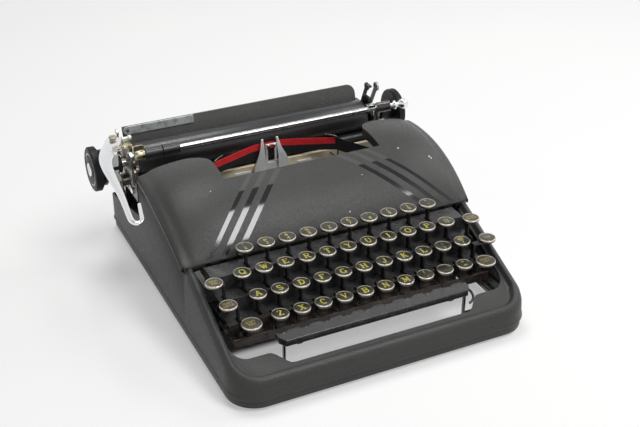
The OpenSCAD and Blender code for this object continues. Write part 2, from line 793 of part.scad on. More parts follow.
module type_rest() {
    pad_in_r = typebar_l + bar_w / 2 + 0.35;
    pad_y = -typebar_l + 4;
    color(brass_tone) basket_frame() {
        y_slab(pad_y, pad_y + 8) sector_2d(pad_in_r, pad_in_r + 3);
        for (s = [-1, 1]) rotate([0, s * (sector_half - 1.2), 0])
            block(-1, 1, pad_y, -segment_half_t, -pad_in_r - 2, -pad_in_r);
    }
}

module finger_2d() {
    x0 = finger_in_x;
    polygon([[x0, guide_tip_z], [x0 + 2, guide_tip_z], [x0 + 4, guide_bend_z + 8], [x0 + 11.5, guide_bend_z - 8],
        [x0 + 11.5, cross_plate_z], [x0, cross_plate_z]]);
}

module type_guide() {
    lean_h = guide_tip_z - guide_bend_z;
    color(steel_grey) intersection() {
        y_slab(guide_y, guide_y + 20) {
            finger_2d();
            mirror([1, 0]) finger_2d();
        }
        x_slab(-20, 20)
            polygon([[guide_y, cross_plate_z], [guide_y + guide_t, cross_plate_z], [guide_y + guide_t, guide_bend_z],
                [guide_y + guide_t + guide_tip_lean, guide_bend_z + lean_h],
                [guide_y + guide_tip_lean, guide_bend_z + lean_h], [guide_y, guide_bend_z]]);
    }
}

// Carriage
module carriage_bed() {
    color(steel_grey) {
        block(bed_x0, bed_x1, bed_y0, bed_y1, bed_z, bed_z + bed_t);
        block(bed_x0, bed_x1, bed_y0, bed_y0 + 2.5, bed_z, rail_front_z + 4);
        block(bed_x0, bed_x1, bed_y1 - 2.5, bed_y1, bed_z, rail_rear_z + 7);
    }
}

module end_plate_2d() {
    difference() {
        union() {
            rect(bed_y0, bed_y1, bed_z, platen_z - platen_r + 6);
            translate([platen_y, platen_z]) circle(15);
            rect(bail_pivot_y - 4.5, bail_pivot_y + 6, bed_z, bail_pivot_z + 4.5);
            rect(platen_y + 10, platen_y + 22.5, bed_z + 5, platen_z + 9);
            rect(platen_y + 12, margin_y + margin_t + 2, rear_ear_z, rear_ear_z + rear_ear_h);
            rect(platen_y - 8, platen_y + 5, platen_z, lever_shelf_z);
        }
        translate([platen_y, platen_z]) circle(shaft_r + run_gap);
        for (s = [-1, 1]) translate([platen_y + s * feed_offset, platen_z - feed_offset]) circle(stud_r + run_gap);
    }
}

lever_shelf_z = 116;
lever_inset = 15;
lever_pivot_x = knob_left_x + knob_t + lever_inset;
lever_pivot_y = platen_y - 2;
lever_blade_z = lever_shelf_z + 2.6;
lever_blade_t = 3;
lever_pin_r = 3;
outer_left_x = end_left_x - bail_arm_gap - bail_arm_t;
outer_right_x = end_right_x + bail_arm_gap + bail_arm_t;
select_y = platen_y + 17;
select_z = platen_z - 3.5;
release_y = platen_y + 21;
release_z = platen_z - 5.5;
free_y = platen_y + 19;
free_z = platen_z - 11.5;

module carriage_end_left() {
    color(nickel) {
        x_slab(end_left_x, bed_x0) end_plate_2d();
        block(lever_pivot_x - 7, bed_x0, platen_y - 8, platen_y + 5, lever_shelf_z - 3, lever_shelf_z);
        translate([lever_pivot_x, lever_pivot_y, lever_shelf_z - 1])
            cylinder(r = lever_pin_r, h = lever_blade_z + lever_blade_t - lever_shelf_z + 1.8);
        x_rod(outer_left_x, end_left_x + 1, stud_r, bail_pivot_y, bail_pivot_z);
        x_rod(end_left_x - 4, end_left_x + 1, stud_r, select_y, select_z);
    }
}

module carriage_end_right() {
    color(nickel) {
        x_slab(bed_x1, end_right_x) end_plate_2d();
        x_rod(end_right_x - 1, outer_right_x, stud_r, bail_pivot_y, bail_pivot_z);
        x_rod(end_right_x - 1, end_right_x + 4, stud_r, release_y, release_z);
        x_rod(end_right_x - 1, end_right_x + 10, stud_r, free_y, free_z);
    }
}

module carriage_rack() {
    p = letter_pitch;
    n = floor((carriage_l - 8) / 2 / p);
    z0 = bed_z - rack_h;
    color(nickel) y_slab(rack_y, rack_y + rack_t)
        polygon(concat([[-(n + 0.5) * p + carriage_shift, bed_z]],
            [for (i = [-n:n - 1]) each [
                [carriage_shift + (i + 0.20) * p, z0 + 3 * tooth_h], [carriage_shift + (i + 0.32) * p, z0],
                [carriage_shift + (i + 0.68) * p, z0], [carriage_shift + (i + 0.80) * p, z0 + 3 * tooth_h]]],
            [[(n + 0.5) * p + carriage_shift, bed_z]]));
}

// The rack's gaps stand over the pinion at whole letter spaces from the middle of the case
carriage_shift = round(carriage_rest_x / letter_pitch) * letter_pitch;

module escapement_pinion() {
    a = 360 / pinion_teeth;
    color(brass_tone) y_slab(rack_y, rack_y + rack_t) translate([0, pinion_z]) difference() {
        polygon([for (i = [0:pinion_teeth - 1]) each [
            for (k = [[-0.34, -1.2], [-0.18, -1.2], [-0.09, 0.5], [0.09, 0.5], [0.18, -1.2], [0.34, -1.2]])
                let (r = pinion_r + k[1] * 2 * tooth_h, t = (i + k[0]) * a) [r * sin(t), r * cos(t)]]]);
        circle(stud_r + run_gap);
    }
}

module mainspring_drum() {
    color(nickel) difference() {
        union() {
            y_rod(cross_rear_y - 12, cross_rear_y - 2, drum_r, drum_x, drum_z);
            y_rod(cross_rear_y - 13, cross_rear_y - 0.6, 5, drum_x, drum_z);
        }
        y_rod(cross_rear_y - 20, cross_rear_y, stud_r + run_gap, drum_x, drum_z);
    }
}

module bell() {
    bell_r = 14;
    color(nickel) translate([70, cross_rear_y, drum_z]) rotate([90, 0, 0]) {
        rotate_extrude() difference() {
            circle(bell_r);
            circle(bell_r - 1.5);
            rect(-far, 0, -far, far);
            rect(-far, far, -far, 2);
        }
        cylinder(r = 2.5, h = bell_r - 0.5);
    }
}

table_back_y = platen_y + platen_r + 2;
table_t = 1.4;
table_lean = 5;
table_knee_z = platen_z + 5;
support_l = 64;
support_h = 7.5;
support_t = 1.5;
support_x = bed_x0 + 4.5;
support_z = table_z - 3;
support_rise = support_z - support_h / 2 - table_knee_z;
support_y = table_back_y + table_lean * support_rise / (table_z - table_knee_z) - 0.3 - support_t;

module paper_table() {
    end_r = 9;
    color(crinkle_black) {
        intersection() {
            x_slab(bed_x0, bed_x1)
                polygon([[table_back_y, platen_z - 8], [table_back_y, table_knee_z],
                    [table_back_y + table_lean, table_z], [table_back_y + table_lean + table_t, table_z],
                    [table_back_y + table_t, table_knee_z], [table_back_y + table_t, platen_z - 8]]);
            y_slab(table_back_y - 1, table_back_y + 12) {
                rect(bed_x0, bed_x1, platen_z - 9, table_z - end_r);
                rect(bed_x0, bed_x1 - end_r, table_z - end_r - eps, table_z);
                translate([bed_x1 - end_r, table_z - end_r]) circle(end_r);
            }
        }
        y_rod(support_y - 0.6, table_back_y + table_lean, 1.5, support_x, support_z);
    }
}

module paper_support() {
    color(steel_grey) y_slab(support_y, support_y + support_t) difference() {
        union() {
            rect(support_x, support_x + support_l, support_z - support_h / 2, support_z + support_h / 2);
            translate([support_x, support_z]) circle(support_h / 2);
        }
        translate([support_x, support_z]) circle(1.5 + run_gap);
    }
}

module margin_rack() {
    color(steel_grey) block(bed_x0, bed_x1, margin_y, margin_y + margin_t, margin_z, margin_z + margin_h);
}

module margin_stop(x) {
    g = 0.3;
    color(nickel) difference() {
        block(x - 6, x + 6, margin_y - 1.8, margin_y + margin_t + 1.8, margin_z - 1.8, margin_z + margin_h + 5);
        block(x - 7, x + 7, margin_y - g, margin_y + margin_t + g, margin_z - g, margin_z + margin_h + g);
    }
}

module margin_stop_left() { margin_stop(bed_x0 + 26); }
module margin_stop_right() { margin_stop(bed_x1 - 26); }

module carriage_screws() {
    color(chrome) for (y = [platen_y - 8, platen_y + 8]) {
        x_rod(end_left_x - 1.6, end_left_x, 3, y, bed_z + 6);
        x_rod(end_right_x, end_right_x + 1.6, 3, y, bed_z + 6);
    }
}

module platen_roller() {
    color(rubber_black) difference() {
        x_rod(roller_x0, roller_x1, platen_r, platen_y, platen_z);
        x_rod(roller_x0 - 1, roller_x1 + 1, shaft_r, platen_y, platen_z);
    }
}

module platen_shaft() { color(nickel) x_rod(knob_left_x - 1, knob_right_x + 1, shaft_r, platen_y, platen_z); }

module knob(x0, x1, hub0, hub1) {
    color(gloss_black) difference() {
        union() {
            x_rod(x0, x1, knob_d / 2, platen_y, platen_z);
            x_rod(hub0, hub1, 8, platen_y, platen_z);
        }
        x_rod(min(x0, hub0) - 1, max(x1, hub1) + 1, shaft_r, platen_y, platen_z);
    }
}

module knob_left() { knob(knob_left_x, knob_left_x + knob_t, knob_left_x + 1, outer_left_x - 4); }
module knob_right() { knob(knob_right_x - knob_t, knob_right_x, outer_right_x + 10, knob_right_x - 1); }

module ratchet_wheel() {
    teeth = 30;
    a = 360 / teeth;
    r = platen_r - 2;
    color(steel_grey) x_slab(bed_x0 + 0.6, roller_x0) translate([platen_y, platen_z]) difference() {
        polygon([for (i = [0:teeth - 1]) each [[r * cos(i * a), r * sin(i * a)],
            [(r - 1.4) * cos((i + 0.5) * a), (r - 1.4) * sin((i + 0.5) * a)]]]);
        circle(shaft_r);
    }
}

module feed_roller(s) {
    y = platen_y + s * feed_offset;
    z = platen_z - feed_offset;
    color(rubber_black) {
        x_rod(roller_x0 + 4, roller_x1 - 4, feed_r, y, z);
        x_rod(end_left_x + 0.5, end_right_x - 0.5, stud_r, y, z);
    }
}

module feed_roller_front() { feed_roller(-1); }
module feed_roller_rear() { feed_roller(1); }

// Return lever: a tapering blade that runs forward above the cover and turns back into a hook
hook_tip_y = platen_y - 152;
hook_x = lever_pivot_x - 22;

// Middle line and half width of the blade, from its pivot to the end of the hook
lever_path = [[lever_pivot_x, lever_pivot_y, 7], [lever_pivot_x - 8, lever_pivot_y - 14, 7.4],
    [lever_pivot_x - 16, lever_pivot_y - 34, 6.4], [hook_x + 2, lever_pivot_y - 60, 4.6],
    [hook_x + 0.5, lever_pivot_y - 86, 3.4], [hook_x - 2, lever_pivot_y - 112, 2.7],
    [hook_x - 4.2, lever_pivot_y - 130, 2.5], [hook_x - 5.6, hook_tip_y + 5, 2.5],
    [hook_x - 4.4, hook_tip_y + 0.4, 2.3], [hook_x - 1.2, hook_tip_y - 1.2, 2.1],
    [hook_x + 2.4, hook_tip_y + 2, 1.9], [hook_x + 4.3, hook_tip_y + 10, 1.7],
    [hook_x + 6, hook_tip_y + 18, 1.6], [hook_x + 8, hook_tip_y + 27, 1.6]];

module return_lever() {
    color(chrome) difference() {
        union() {
            translate([0, 0, lever_blade_z]) linear_extrude(lever_blade_t)
                for (i = [0:len(lever_path) - 2]) hull() for (p = [lever_path[i], lever_path[i + 1]])
                    translate([p[0], p[1]]) circle(p[2], $fn = 32);
            translate([lever_pivot_x, lever_pivot_y, lever_shelf_z + 0.3])
                cylinder(r = 6, h = lever_blade_z - lever_shelf_z);
        }
        translate([lever_pivot_x, lever_pivot_y, 0]) cylinder(r = lever_pin_r + run_gap, h = far);
    }
}

module bail_arm_2d() {
    difference() {
        union() {
            translate([bail_pivot_y, bail_pivot_z]) circle(4.5);
            translate([bail_y, bail_z]) circle(4.5);
            polygon([[bail_pivot_y - 4, bail_pivot_z], [bail_pivot_y + 4, bail_pivot_z],
                [bail_y + 4, bail_z], [bail_y - 4, bail_z]]);
        }
        translate([bail_pivot_y, bail_pivot_z]) circle(stud_r + run_gap);
    }
}

module paper_bail() {
    left = outer_left_x;
    right = end_right_x + bail_arm_gap;
    start = [right + bail_arm_t - 1, bail_y, bail_z];
    ball = [knob_right_x - knob_t + 0.8, bail_y - 9, bail_z + 3.4];
    way = ball - start;
    reach = norm(way);
    boss_l = reach / 2;
    color(chrome) {
        x_slab(left, left + bail_arm_t) bail_arm_2d();
        x_slab(right, right + bail_arm_t) bail_arm_2d();
        x_rod(left, right + bail_arm_t, bail_rod_d / 2, bail_y, bail_z);
        translate(start) rotate([0, acos(way[2] / reach), atan2(way[1], way[0])]) {
            cylinder(r = 5, h = boss_l);
            cylinder(r = 2.2, h = reach);
            translate([0, 0, boss_l + 3]) cylinder(r = 3.4, h = 1.6);
        }
        translate(ball) sphere(r = 3.6);
    }
}

module bail_rollers() {
    x0 = roller_x0 + 5;
    l = 16;
    color(rubber_black) for (x = [x0, x0 + l + 0.6]) difference() {
        x_rod(x, x + l, bail_r, bail_y, bail_z);
        x_rod(x - 1, x + l + 1, bail_rod_d / 2 + run_gap, bail_y, bail_z);
    }
}

module hand_lever_2d(y0, z0, y1, z1, w) {
    l = norm([y1 - y0, z1 - z0]);
    difference() {
        union() {
            translate([y0, z0]) circle(w);
            translate([y0, z0]) rotate(atan2(z1 - z0, y1 - y0)) translate([0, -w / 2]) square([l, w]);
            translate([y1, z1]) circle(w);
        }
        translate([y0, z0]) circle(stud_r + run_gap);
    }
}

module paper_release_lever() {
    x0 = end_right_x + 1.5;
    color(gloss_black) {
        x_slab(x0, x0 + 2) hand_lever_2d(release_y, release_z, platen_y + 6, platen_z + 27, 4);
        block(x0 + 1, x0 + 5, platen_y + 3, platen_y + 9, platen_z + 26, platen_z + 28);
    }
}

module carriage_release_lever() {
    x0 = end_right_x + 7.5;
    color(nickel) {
        x_slab(x0, x0 + 2) hand_lever_2d(free_y, free_z, platen_y - 2, platen_z + 29, 4.5);
    }
}

module line_space_lever() {
    x0 = end_left_x - 3.5;
    color(nickel) x_slab(x0, x0 + 2) hand_lever_2d(select_y, select_z, platen_y + 21, platen_z + 21, 3.6);
}

case();
frame();
feet();
lever_comb();
key_well();
fulcrum_rod();
carriage_rails();
basket_guides();
spool_cups();
cover_brackets();
bell();
ribbon();
ribbon_cover();
keys_numbers();
keys_upper();
keys_home();
keys_lower();
margin_release_key();
back_spacer_key();
shift_lock_key();
tabulator_key();
shift_key_left();
shift_key_right();
space_bar();
type_segment();
typebars();
type_rest();
type_guide();
strike_typebar();
ribbon_vibrator();
spool_left();
spool_right();
carriage_bed();
carriage_end_left();
carriage_end_right();
carriage_rack();
paper_table();
margin_rack();
carriage_screws();
platen_roller();
platen_shaft();
knob_left();
knob_right();
ratchet_wheel();
feed_roller_front();
feed_roller_rear();
return_lever();
paper_bail();
bail_rollers();
paper_support();
paper_release_lever();
carriage_release_lever();
line_space_lever();
margin_stop_left();
margin_stop_right();
mainspring_drum();
escapement_pinion();
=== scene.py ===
"""Portable typewriter: the visible pieces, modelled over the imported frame."""
import json
import math

import bmesh
import bpy
from bpy.props import FloatProperty, FloatVectorProperty, IntProperty, PointerProperty
from mathutils import Matrix, Vector

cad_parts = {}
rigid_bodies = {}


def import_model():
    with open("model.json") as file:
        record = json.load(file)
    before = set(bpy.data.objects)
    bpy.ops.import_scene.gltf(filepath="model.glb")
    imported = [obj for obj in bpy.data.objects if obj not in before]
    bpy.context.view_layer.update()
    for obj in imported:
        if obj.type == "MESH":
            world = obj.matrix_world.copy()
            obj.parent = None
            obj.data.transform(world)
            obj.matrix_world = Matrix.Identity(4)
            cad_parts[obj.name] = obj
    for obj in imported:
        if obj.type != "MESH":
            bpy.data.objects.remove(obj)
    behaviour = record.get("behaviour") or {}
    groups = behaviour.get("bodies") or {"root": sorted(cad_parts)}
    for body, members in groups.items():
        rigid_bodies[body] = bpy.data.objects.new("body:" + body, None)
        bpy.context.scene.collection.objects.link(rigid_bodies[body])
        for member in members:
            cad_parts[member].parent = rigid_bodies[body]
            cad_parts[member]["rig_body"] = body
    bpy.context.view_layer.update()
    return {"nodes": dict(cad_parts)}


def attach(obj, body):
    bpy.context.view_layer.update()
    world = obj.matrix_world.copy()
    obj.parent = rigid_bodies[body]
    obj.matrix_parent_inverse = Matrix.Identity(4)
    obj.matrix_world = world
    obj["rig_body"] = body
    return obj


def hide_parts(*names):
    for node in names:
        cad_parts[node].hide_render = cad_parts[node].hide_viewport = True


bl_info = {
    "name": "Portable typewriter",
    "version": (1, 0, 0),
    "blender": (4, 5, 0),
    "location": "View3D > Sidebar > Typewriter",
    "description": "Dresses the packed typewriter with its shells, keys, carriage and finishes",
    "category": "Add Mesh",
}

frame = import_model()
NODES = frame["nodes"]
MM = 0.001

# Case and cover lines shared by several pieces, in millimetres
SIDE_X = 135.5
FRONT_Y = -165.0
REAR_Y = 165.0
EDGE_Z = 10.0
CORNER_R = 26.0
CORNER_X = SIDE_X - CORNER_R
CORNER_Y = FRONT_Y + CORNER_R
SEAM_Y = -53.0
RIM_FRONT_Z = 25.0
RIM_SEAM_Z = 72.5
LEDGE_END_Y = -54.6
LEDGE_DROP = 6.1
KEY_PITCH = 19.05

# Arcs of the cover seen from the side: centre Y, centre Z and radius
CROWN = (29.0, 18.84, 98.0)
RIDGE = (46.0, -65.7, 170.0)

# Y and Z of the platen's axis and of the bail rod, and the return lever's pivot
PLATEN = (105.0, 95.5)
BAIL_ROD = (88.33, 108.76)
LEVER_PIVOT = (-143.0, 103.0)
LEVER_Z = 120.1


class TypewriterSizes(bpy.types.PropertyGroup):
    """Sizes of the dressed pieces"""

    wall: FloatProperty(name="Shell wall", description="Thickness of the pressed case and cover", default=0.0016,
                        min=0.0008, max=0.0025, unit="LENGTH")
    key_radius: FloatProperty(name="Key radius", description="Outer radius of a character key's ring",
                              default=0.0075, min=0.0065, max=0.008, unit="LENGTH")
    shift_radius: FloatProperty(name="Shift key radius", description="Outer radius of a shift key's ring",
                                default=0.00875, min=0.008, max=0.0092, unit="LENGTH")
    legend: FloatProperty(name="Legend height", description="Letter height on the key tops", default=0.0070,
                          min=0.004, max=0.008, unit="LENGTH")
    knurls: IntProperty(name="Knob knurls", description="Ridges round each platen knob", default=60, min=24, max=90)
    stripe: FloatProperty(name="Stripe half width", description="Half width of a glossy stripe along X",
                          default=0.0029, min=0.001, max=0.005, unit="LENGTH")


class TypewriterColours(bpy.types.PropertyGroup):
    """Colours of the finishes"""

    paint: FloatVectorProperty(name="Crinkle paint", description="Dark grey of the case and cover", subtype="COLOR",
                               default=(0.054, 0.054, 0.052), min=0, max=1)
    enamel: FloatVectorProperty(name="Enamel", description="Black of knobs, levers and treads", subtype="COLOR",
                                default=(0.012, 0.012, 0.012), min=0, max=1)
    nickel: FloatVectorProperty(name="Nickel", description="Plated rings and plates", subtype="COLOR",
                                default=(0.60, 0.56, 0.49), min=0, max=1)
    legend: FloatVectorProperty(name="Legends", description="Aged yellow of the key letters", subtype="COLOR",
                                default=(0.56, 0.50, 0.09), min=0, max=1)
    ribbon: FloatVectorProperty(name="Ribbon", description="Red of the inked ribbon", subtype="COLOR",
                                default=(0.90, 0.040, 0.048), min=0, max=1)


# Finishes


class Nodes:
    """Short ways to add, feed and join the nodes of one tree."""

    def __init__(self, tree):
        self.tree = tree

    def add(self, kind):
        return self.tree.nodes.new(kind)

    def join(self, source, target):
        self.tree.links.new(source, target)

    def feed(self, socket, value):
        if isinstance(value, bpy.types.NodeSocket):
            self.join(value, socket)
        else:
            socket.default_value = value

    def maths(self, op, a, b=0.0, clamp=False):
        node = self.add("ShaderNodeMath")
        node.operation = op
        node.use_clamp = clamp
        self.feed(node.inputs[0], a)
        self.feed(node.inputs[1], b)
        return node.outputs[0]

    def plus(self, a, b):
        return self.maths("ADD", a, b)

    def minus(self, a, b, clamp=False):
        return self.maths("SUBTRACT", a, b, clamp)

    def times(self, a, b):
        return self.maths("MULTIPLY", a, b)

    def absolute(self, a):
        return self.maths("ABSOLUTE", a)

    def seen(self):
        """1 for rays that show the background: to the camera, in gloss and through glass."""
        path = self.add("ShaderNodeLightPath").outputs
        first = self.maths("MAXIMUM", path["Is Camera Ray"], path["Is Glossy Ray"])
        return self.maths("MAXIMUM", first, path["Is Transmission Ray"])


class Finish(Nodes):
    """A material being made: one Principled shader fed by Object coordinates in millimetres."""

    def __init__(self, name, colour, rough=0.5, metal=0.0, coat=0.0, coat_rough=0.1, specular=0.5):
        self.mat = bpy.data.materials.new(name)
        self.mat.use_nodes = True
        super().__init__(self.mat.node_tree)
        self.tree.nodes.clear()
        out = self.add("ShaderNodeOutputMaterial")
        self.bsdf = self.add("ShaderNodeBsdfPrincipled")
        self.join(self.bsdf.outputs[0], out.inputs[0])
        for socket, value in (("Base Color", (*colour, 1.0)), ("Roughness", rough), ("Metallic", metal),
                              ("Coat Weight", coat), ("Coat Roughness", coat_rough),
                              ("Specular IOR Level", specular)):
            self.bsdf.inputs[socket].default_value = value
        place = self.add("ShaderNodeTexCoord")
        scale = self.add("ShaderNodeMapping")
        scale.inputs["Scale"].default_value = (1 / MM, 1 / MM, 1 / MM)
        self.join(place.outputs["Object"], scale.inputs["Vector"])
        self.place = scale.outputs[0]

    def noise(self, per_mm, detail=3.0, rough=0.55, stretch=None):
        node = self.add("ShaderNodeTexNoise")
        node.inputs["Scale"].default_value = per_mm
        node.inputs["Detail"].default_value = detail
        node.inputs["Roughness"].default_value = rough
        source = self.place
        if stretch:
            turn = self.add("ShaderNodeMapping")
            turn.inputs["Scale"].default_value = stretch
            self.join(source, turn.inputs["Vector"])
            source = turn.outputs[0]
        self.join(source, node.inputs["Vector"])
        return node.outputs["Fac"]

    def axes(self):
        node = self.add("ShaderNodeSeparateXYZ")
        self.join(self.place, node.inputs[0])
        return node.outputs

    def near(self, point, radius):
        """1 inside a ragged spot round a point, 0 outside it."""
        node = self.add("ShaderNodeVectorMath")
        node.operation = "DISTANCE"
        self.join(self.place, node.inputs[0])
        node.inputs[1].default_value = point
        ragged = self.plus(node.outputs["Value"], self.times(self.noise(0.9, 2.0), radius))
        return self.span(ragged, radius * 1.35, radius * 1.6, 1.0, 0.0)

    def span(self, value, low, high, to_low=0.0, to_high=1.0):
        node = self.add("ShaderNodeMapRange")
        node.interpolation_type = "SMOOTHSTEP"
        for socket, number in zip(list(node.inputs)[1:5], (low, high, to_low, to_high)):
            socket.default_value = number
        self.join(value, node.inputs[0])
        return node.outputs[0]

    def blend(self, amount, a, b):
        node = self.add("ShaderNodeMix")
        node.data_type = "RGBA"
        self.feed(node.inputs[0], amount)
        self.feed(node.inputs[6], (*a, 1.0) if isinstance(a, tuple) else a)
        self.feed(node.inputs[7], (*b, 1.0) if isinstance(b, tuple) else b)
        return node.outputs[2]

    def colour(self, value):
        self.join(value, self.bsdf.inputs["Base Color"])

    def rough(self, value):
        self.join(value, self.bsdf.inputs["Roughness"])

    def bump(self, height, strength, depth_mm):
        node = self.add("ShaderNodeBump")
        node.inputs["Distance"].default_value = depth_mm * MM
        self.feed(node.inputs["Strength"], strength)
        self.join(height, node.inputs["Height"])
        self.join(node.outputs[0], self.bsdf.inputs["Normal"])


def chosen(name):
    """A colour as the panel has it."""
    return tuple(getattr(bpy.context.scene.typewriter_colours, name))


def shade(colour, factor):
    return tuple(min(1.0, c * factor) for c in colour)


# Bare spots where the cover's paint has been knocked off: place and radius in millimetres
CHIPS = (((89.9, -3.6, 111.1), 1.0), ((115.7, -15.7, 102.6), 0.9), ((116.8, -17.4, 101.5), 0.8),
         ((-91.5, -6.1, 110.2), 0.5), ((44.0, -21.7, 102.7), 0.5), ((20.6, -45.1, 83.0), 0.55))


def crinkle_paint(name, cover=False, smooth=1.0, lift=1.0):
    base = shade(chosen("paint"), lift)
    f = Finish(name, base, rough=0.45, coat_rough=0.09, specular=0.33)
    wrinkle = f.plus(f.noise(0.95, 2.0), f.times(f.noise(2.1, 2.0), 0.5))
    speck = f.span(f.noise(0.8, 1.0), 0.40, 0.70)
    cloud = f.span(f.noise(0.018, 3.0), 0.3, 0.72)
    dust = f.span(f.noise(1.7, 1.0), 0.70, 0.78)
    tone = f.blend(speck, shade(base, 0.80), shade(base, 1.18))
    tone = f.blend(f.times(cloud, 0.6), tone, shade(base, 1.2))
    tone = f.blend(f.times(dust, 0.5), tone, shade(base, 3.0))
    rough = f.span(f.noise(0.5, 2.0), 0.3, 0.7, 0.36, 0.50)
    strength = 0.30 * smooth
    if cover:
        bands, glossy = stripe_masks(f)
        lead = f.minus(bands, glossy, True)
        tone = f.blend(f.times(lead, 0.6), tone, shade(base, 1.9))
        tone = f.blend(glossy, tone, shade(base, 0.34))
        keep = f.minus(1.0, glossy)
        rough = f.plus(f.times(rough, keep), f.times(glossy, 0.12))
        strength = f.times(f.minus(1.0, f.times(bands, 0.96)), strength)
        f.join(glossy, f.bsdf.inputs["Coat Weight"])
        for point, radius in CHIPS:
            tone = f.blend(f.near(point, radius), tone, (0.78, 0.77, 0.74))
    f.colour(tone)
    f.rough(rough)
    f.bump(wrinkle, strength, 0.35)
    return f.mat


def stripe_masks(f):
    """Slanted stripes either side of the cover's front: all of each band, and its glossy lower part."""
    half = bpy.context.scene.typewriter_sizes.stripe / MM
    x, y = f.axes()[0], f.axes()[1]
    turn = f.maths("ARCSINE", f.maths("DIVIDE", f.minus(y, CROWN[0]), CROWN[2]))
    along = f.times(turn, -CROWN[2])
    spread = f.times(f.minus(along, 28.5), 0.87)
    slant = f.minus(f.absolute(f.minus(x, 4.0)), spread)
    bands = None
    for start, width in ((31.0, half), (44.5, half), (57.5, half * 0.82)):
        off = f.absolute(f.minus(slant, start))
        band = f.span(off, width - 0.35, width + 0.35, 1.0, 0.0)
        bands = band if bands is None else f.maths("MAXIMUM", bands, band)
    bands = f.times(bands, f.span(y, 2.0, 4.0, 1.0, 0.0))
    return bands, f.times(bands, f.span(along, 41.8, 43.2))


def black_enamel(name="black_enamel", lift=1.0, rough=0.3, coat=0.25, specular=0.5):
    base = shade(chosen("enamel"), lift)
    f = Finish(name, base, rough=rough, coat=coat, coat_rough=0.12, specular=specular)
    dust = f.span(f.noise(0.06, 4.0), 0.45, 0.8)
    scuff = f.span(f.noise(0.9, 3.0), 0.66, 0.74)
    tone = f.blend(dust, base, shade(base, 2.2))
    f.colour(f.blend(f.times(scuff, 0.35), tone, shade(base, 6.0)))
    f.rough(f.span(f.noise(0.25, 3.0), 0.3, 0.75, rough - 0.08, rough + 0.18))
    f.bump(f.noise(0.5, 2.0), 0.04, 0.12)
    return f.mat


def brown_lacquer():
    f = Finish("brown_lacquer", (0.050, 0.036, 0.029), rough=0.3, coat=0.6, coat_rough=0.16)
    rub = f.span(f.noise(0.10, 4.0, stretch=(0.35, 1, 1)), 0.42, 0.74)
    tone = f.blend(rub, (0.038, 0.028, 0.023), (0.105, 0.072, 0.055))
    f.colour(f.blend(f.times(f.span(f.noise(1.2, 2.0), 0.62, 0.72), 0.6), tone, (0.24, 0.19, 0.15)))
    f.rough(f.span(f.noise(0.3, 3.0), 0.3, 0.75, 0.22, 0.45))
    f.bump(f.noise(0.6, 2.0), 0.05, 0.12)
    return f.mat


def plated(name, colour, rough=0.24, tarnish=0.35, brush=None, dull=0.45, metal=1.0):
    f = Finish(name, colour, rough=rough, metal=metal)
    stain = f.span(f.noise(0.12, 4.0), 0.42, 0.75)
    fine = f.span(f.noise(0.8, 2.0, stretch=brush), 0.40, 0.70)
    tone = f.blend(f.times(stain, tarnish), colour, shade(colour, dull))
    f.colour(f.blend(f.times(fine, 0.16), tone, shade(colour, 0.8)))
    f.rough(f.span(f.noise(0.2, 3.0), 0.3, 0.75, rough - 0.06, rough + 0.12))
    if brush:
        f.bump(f.noise(0.6, 2.0, stretch=brush), 0.03, 0.05)
    return f.mat


def chrome_rod_painted_shade():
    """Bail rod: dull chrome, with a dark line along its front that is painted shade of a groove, and painted shade
    on its lower side.
    """
    f = Finish("bail_rod_chrome", (0.72, 0.73, 0.73), rough=0.3, metal=1.0)
    z = f.axes()[2]
    # line is a dark band of painted groove shade; low is painted shade on the rod's lower side.
    line = f.times(f.span(z, 108.7, 109.0), f.span(z, 109.6, 109.9, 1.0, 0.0))
    low = f.span(z, 107.2, 108.6, 1.0, 0.0)
    stain = f.span(f.noise(0.12, 4.0), 0.42, 0.75)
    tone = f.blend(f.times(stain, 0.2), (0.72, 0.73, 0.73), (0.50, 0.51, 0.51))
    tone = f.blend(f.times(low, 0.6), tone, (0.30, 0.31, 0.31))
    f.colour(f.blend(line, tone, (0.10, 0.10, 0.10)))
    f.rough(f.span(f.noise(0.2, 3.0), 0.3, 0.75, 0.26, 0.42))
    return f.mat


def rubber():
    f = Finish("platen_rubber", (0.020, 0.020, 0.021), rough=0.38, coat=0.25, coat_rough=0.22)
    worn = f.span(f.noise(0.05, 4.0, stretch=(0.3, 1, 1)), 0.4, 0.75)
    f.colour(f.blend(worn, (0.014, 0.015, 0.016), (0.038, 0.039, 0.040)))
    f.rough(f.span(f.noise(0.4, 3.0), 0.3, 0.7, 0.30, 0.46))
    f.bump(f.noise(1.4, 2.0), 0.05, 0.1)
    return f.mat


def ribbon_cloth():
    """Tape coloured red along the upper half of its middle run, and near-black below that and past 61 mm either
    side of the middle.
    """
    base = chosen("ribbon")
    f = Finish("ribbon_cloth", base, rough=0.6, specular=0.3)
    x, z = f.axes()[0], f.axes()[2]
    weave = f.add("ShaderNodeTexWave")
    weave.inputs["Scale"].default_value = 2.2
    weave.bands_direction = "Z"
    f.join(f.place, weave.inputs["Vector"])
    ink = f.span(f.noise(0.12, 3.0), 0.35, 0.75)
    red = f.blend(f.times(ink, 0.6), base, shade(base, 0.7))
    upper = f.span(f.plus(z, f.times(f.noise(0.3, 2.0), 0.4)), 91.3, 91.8)
    run = f.span(f.absolute(x), 60.5, 61.5, 1.0, 0.0)
    f.colour(f.blend(f.times(upper, run), (0.022, 0.021, 0.023), red))
    f.bump(weave.outputs["Fac"], 0.2, 0.06)
    return f.mat


def key_disc(name="key_disc", young=(0.020, 0.020, 0.013), old=(0.048, 0.045, 0.026)):
    f = Finish(name, young, rough=0.42, coat=0.55, coat_rough=0.08, specular=0.35)
    f.colour(f.blend(f.span(f.noise(0.18, 3.0), 0.38, 0.72), young, old))
    f.rough(f.span(f.noise(0.6, 2.0), 0.3, 0.7, 0.34, 0.5))
    return f.mat


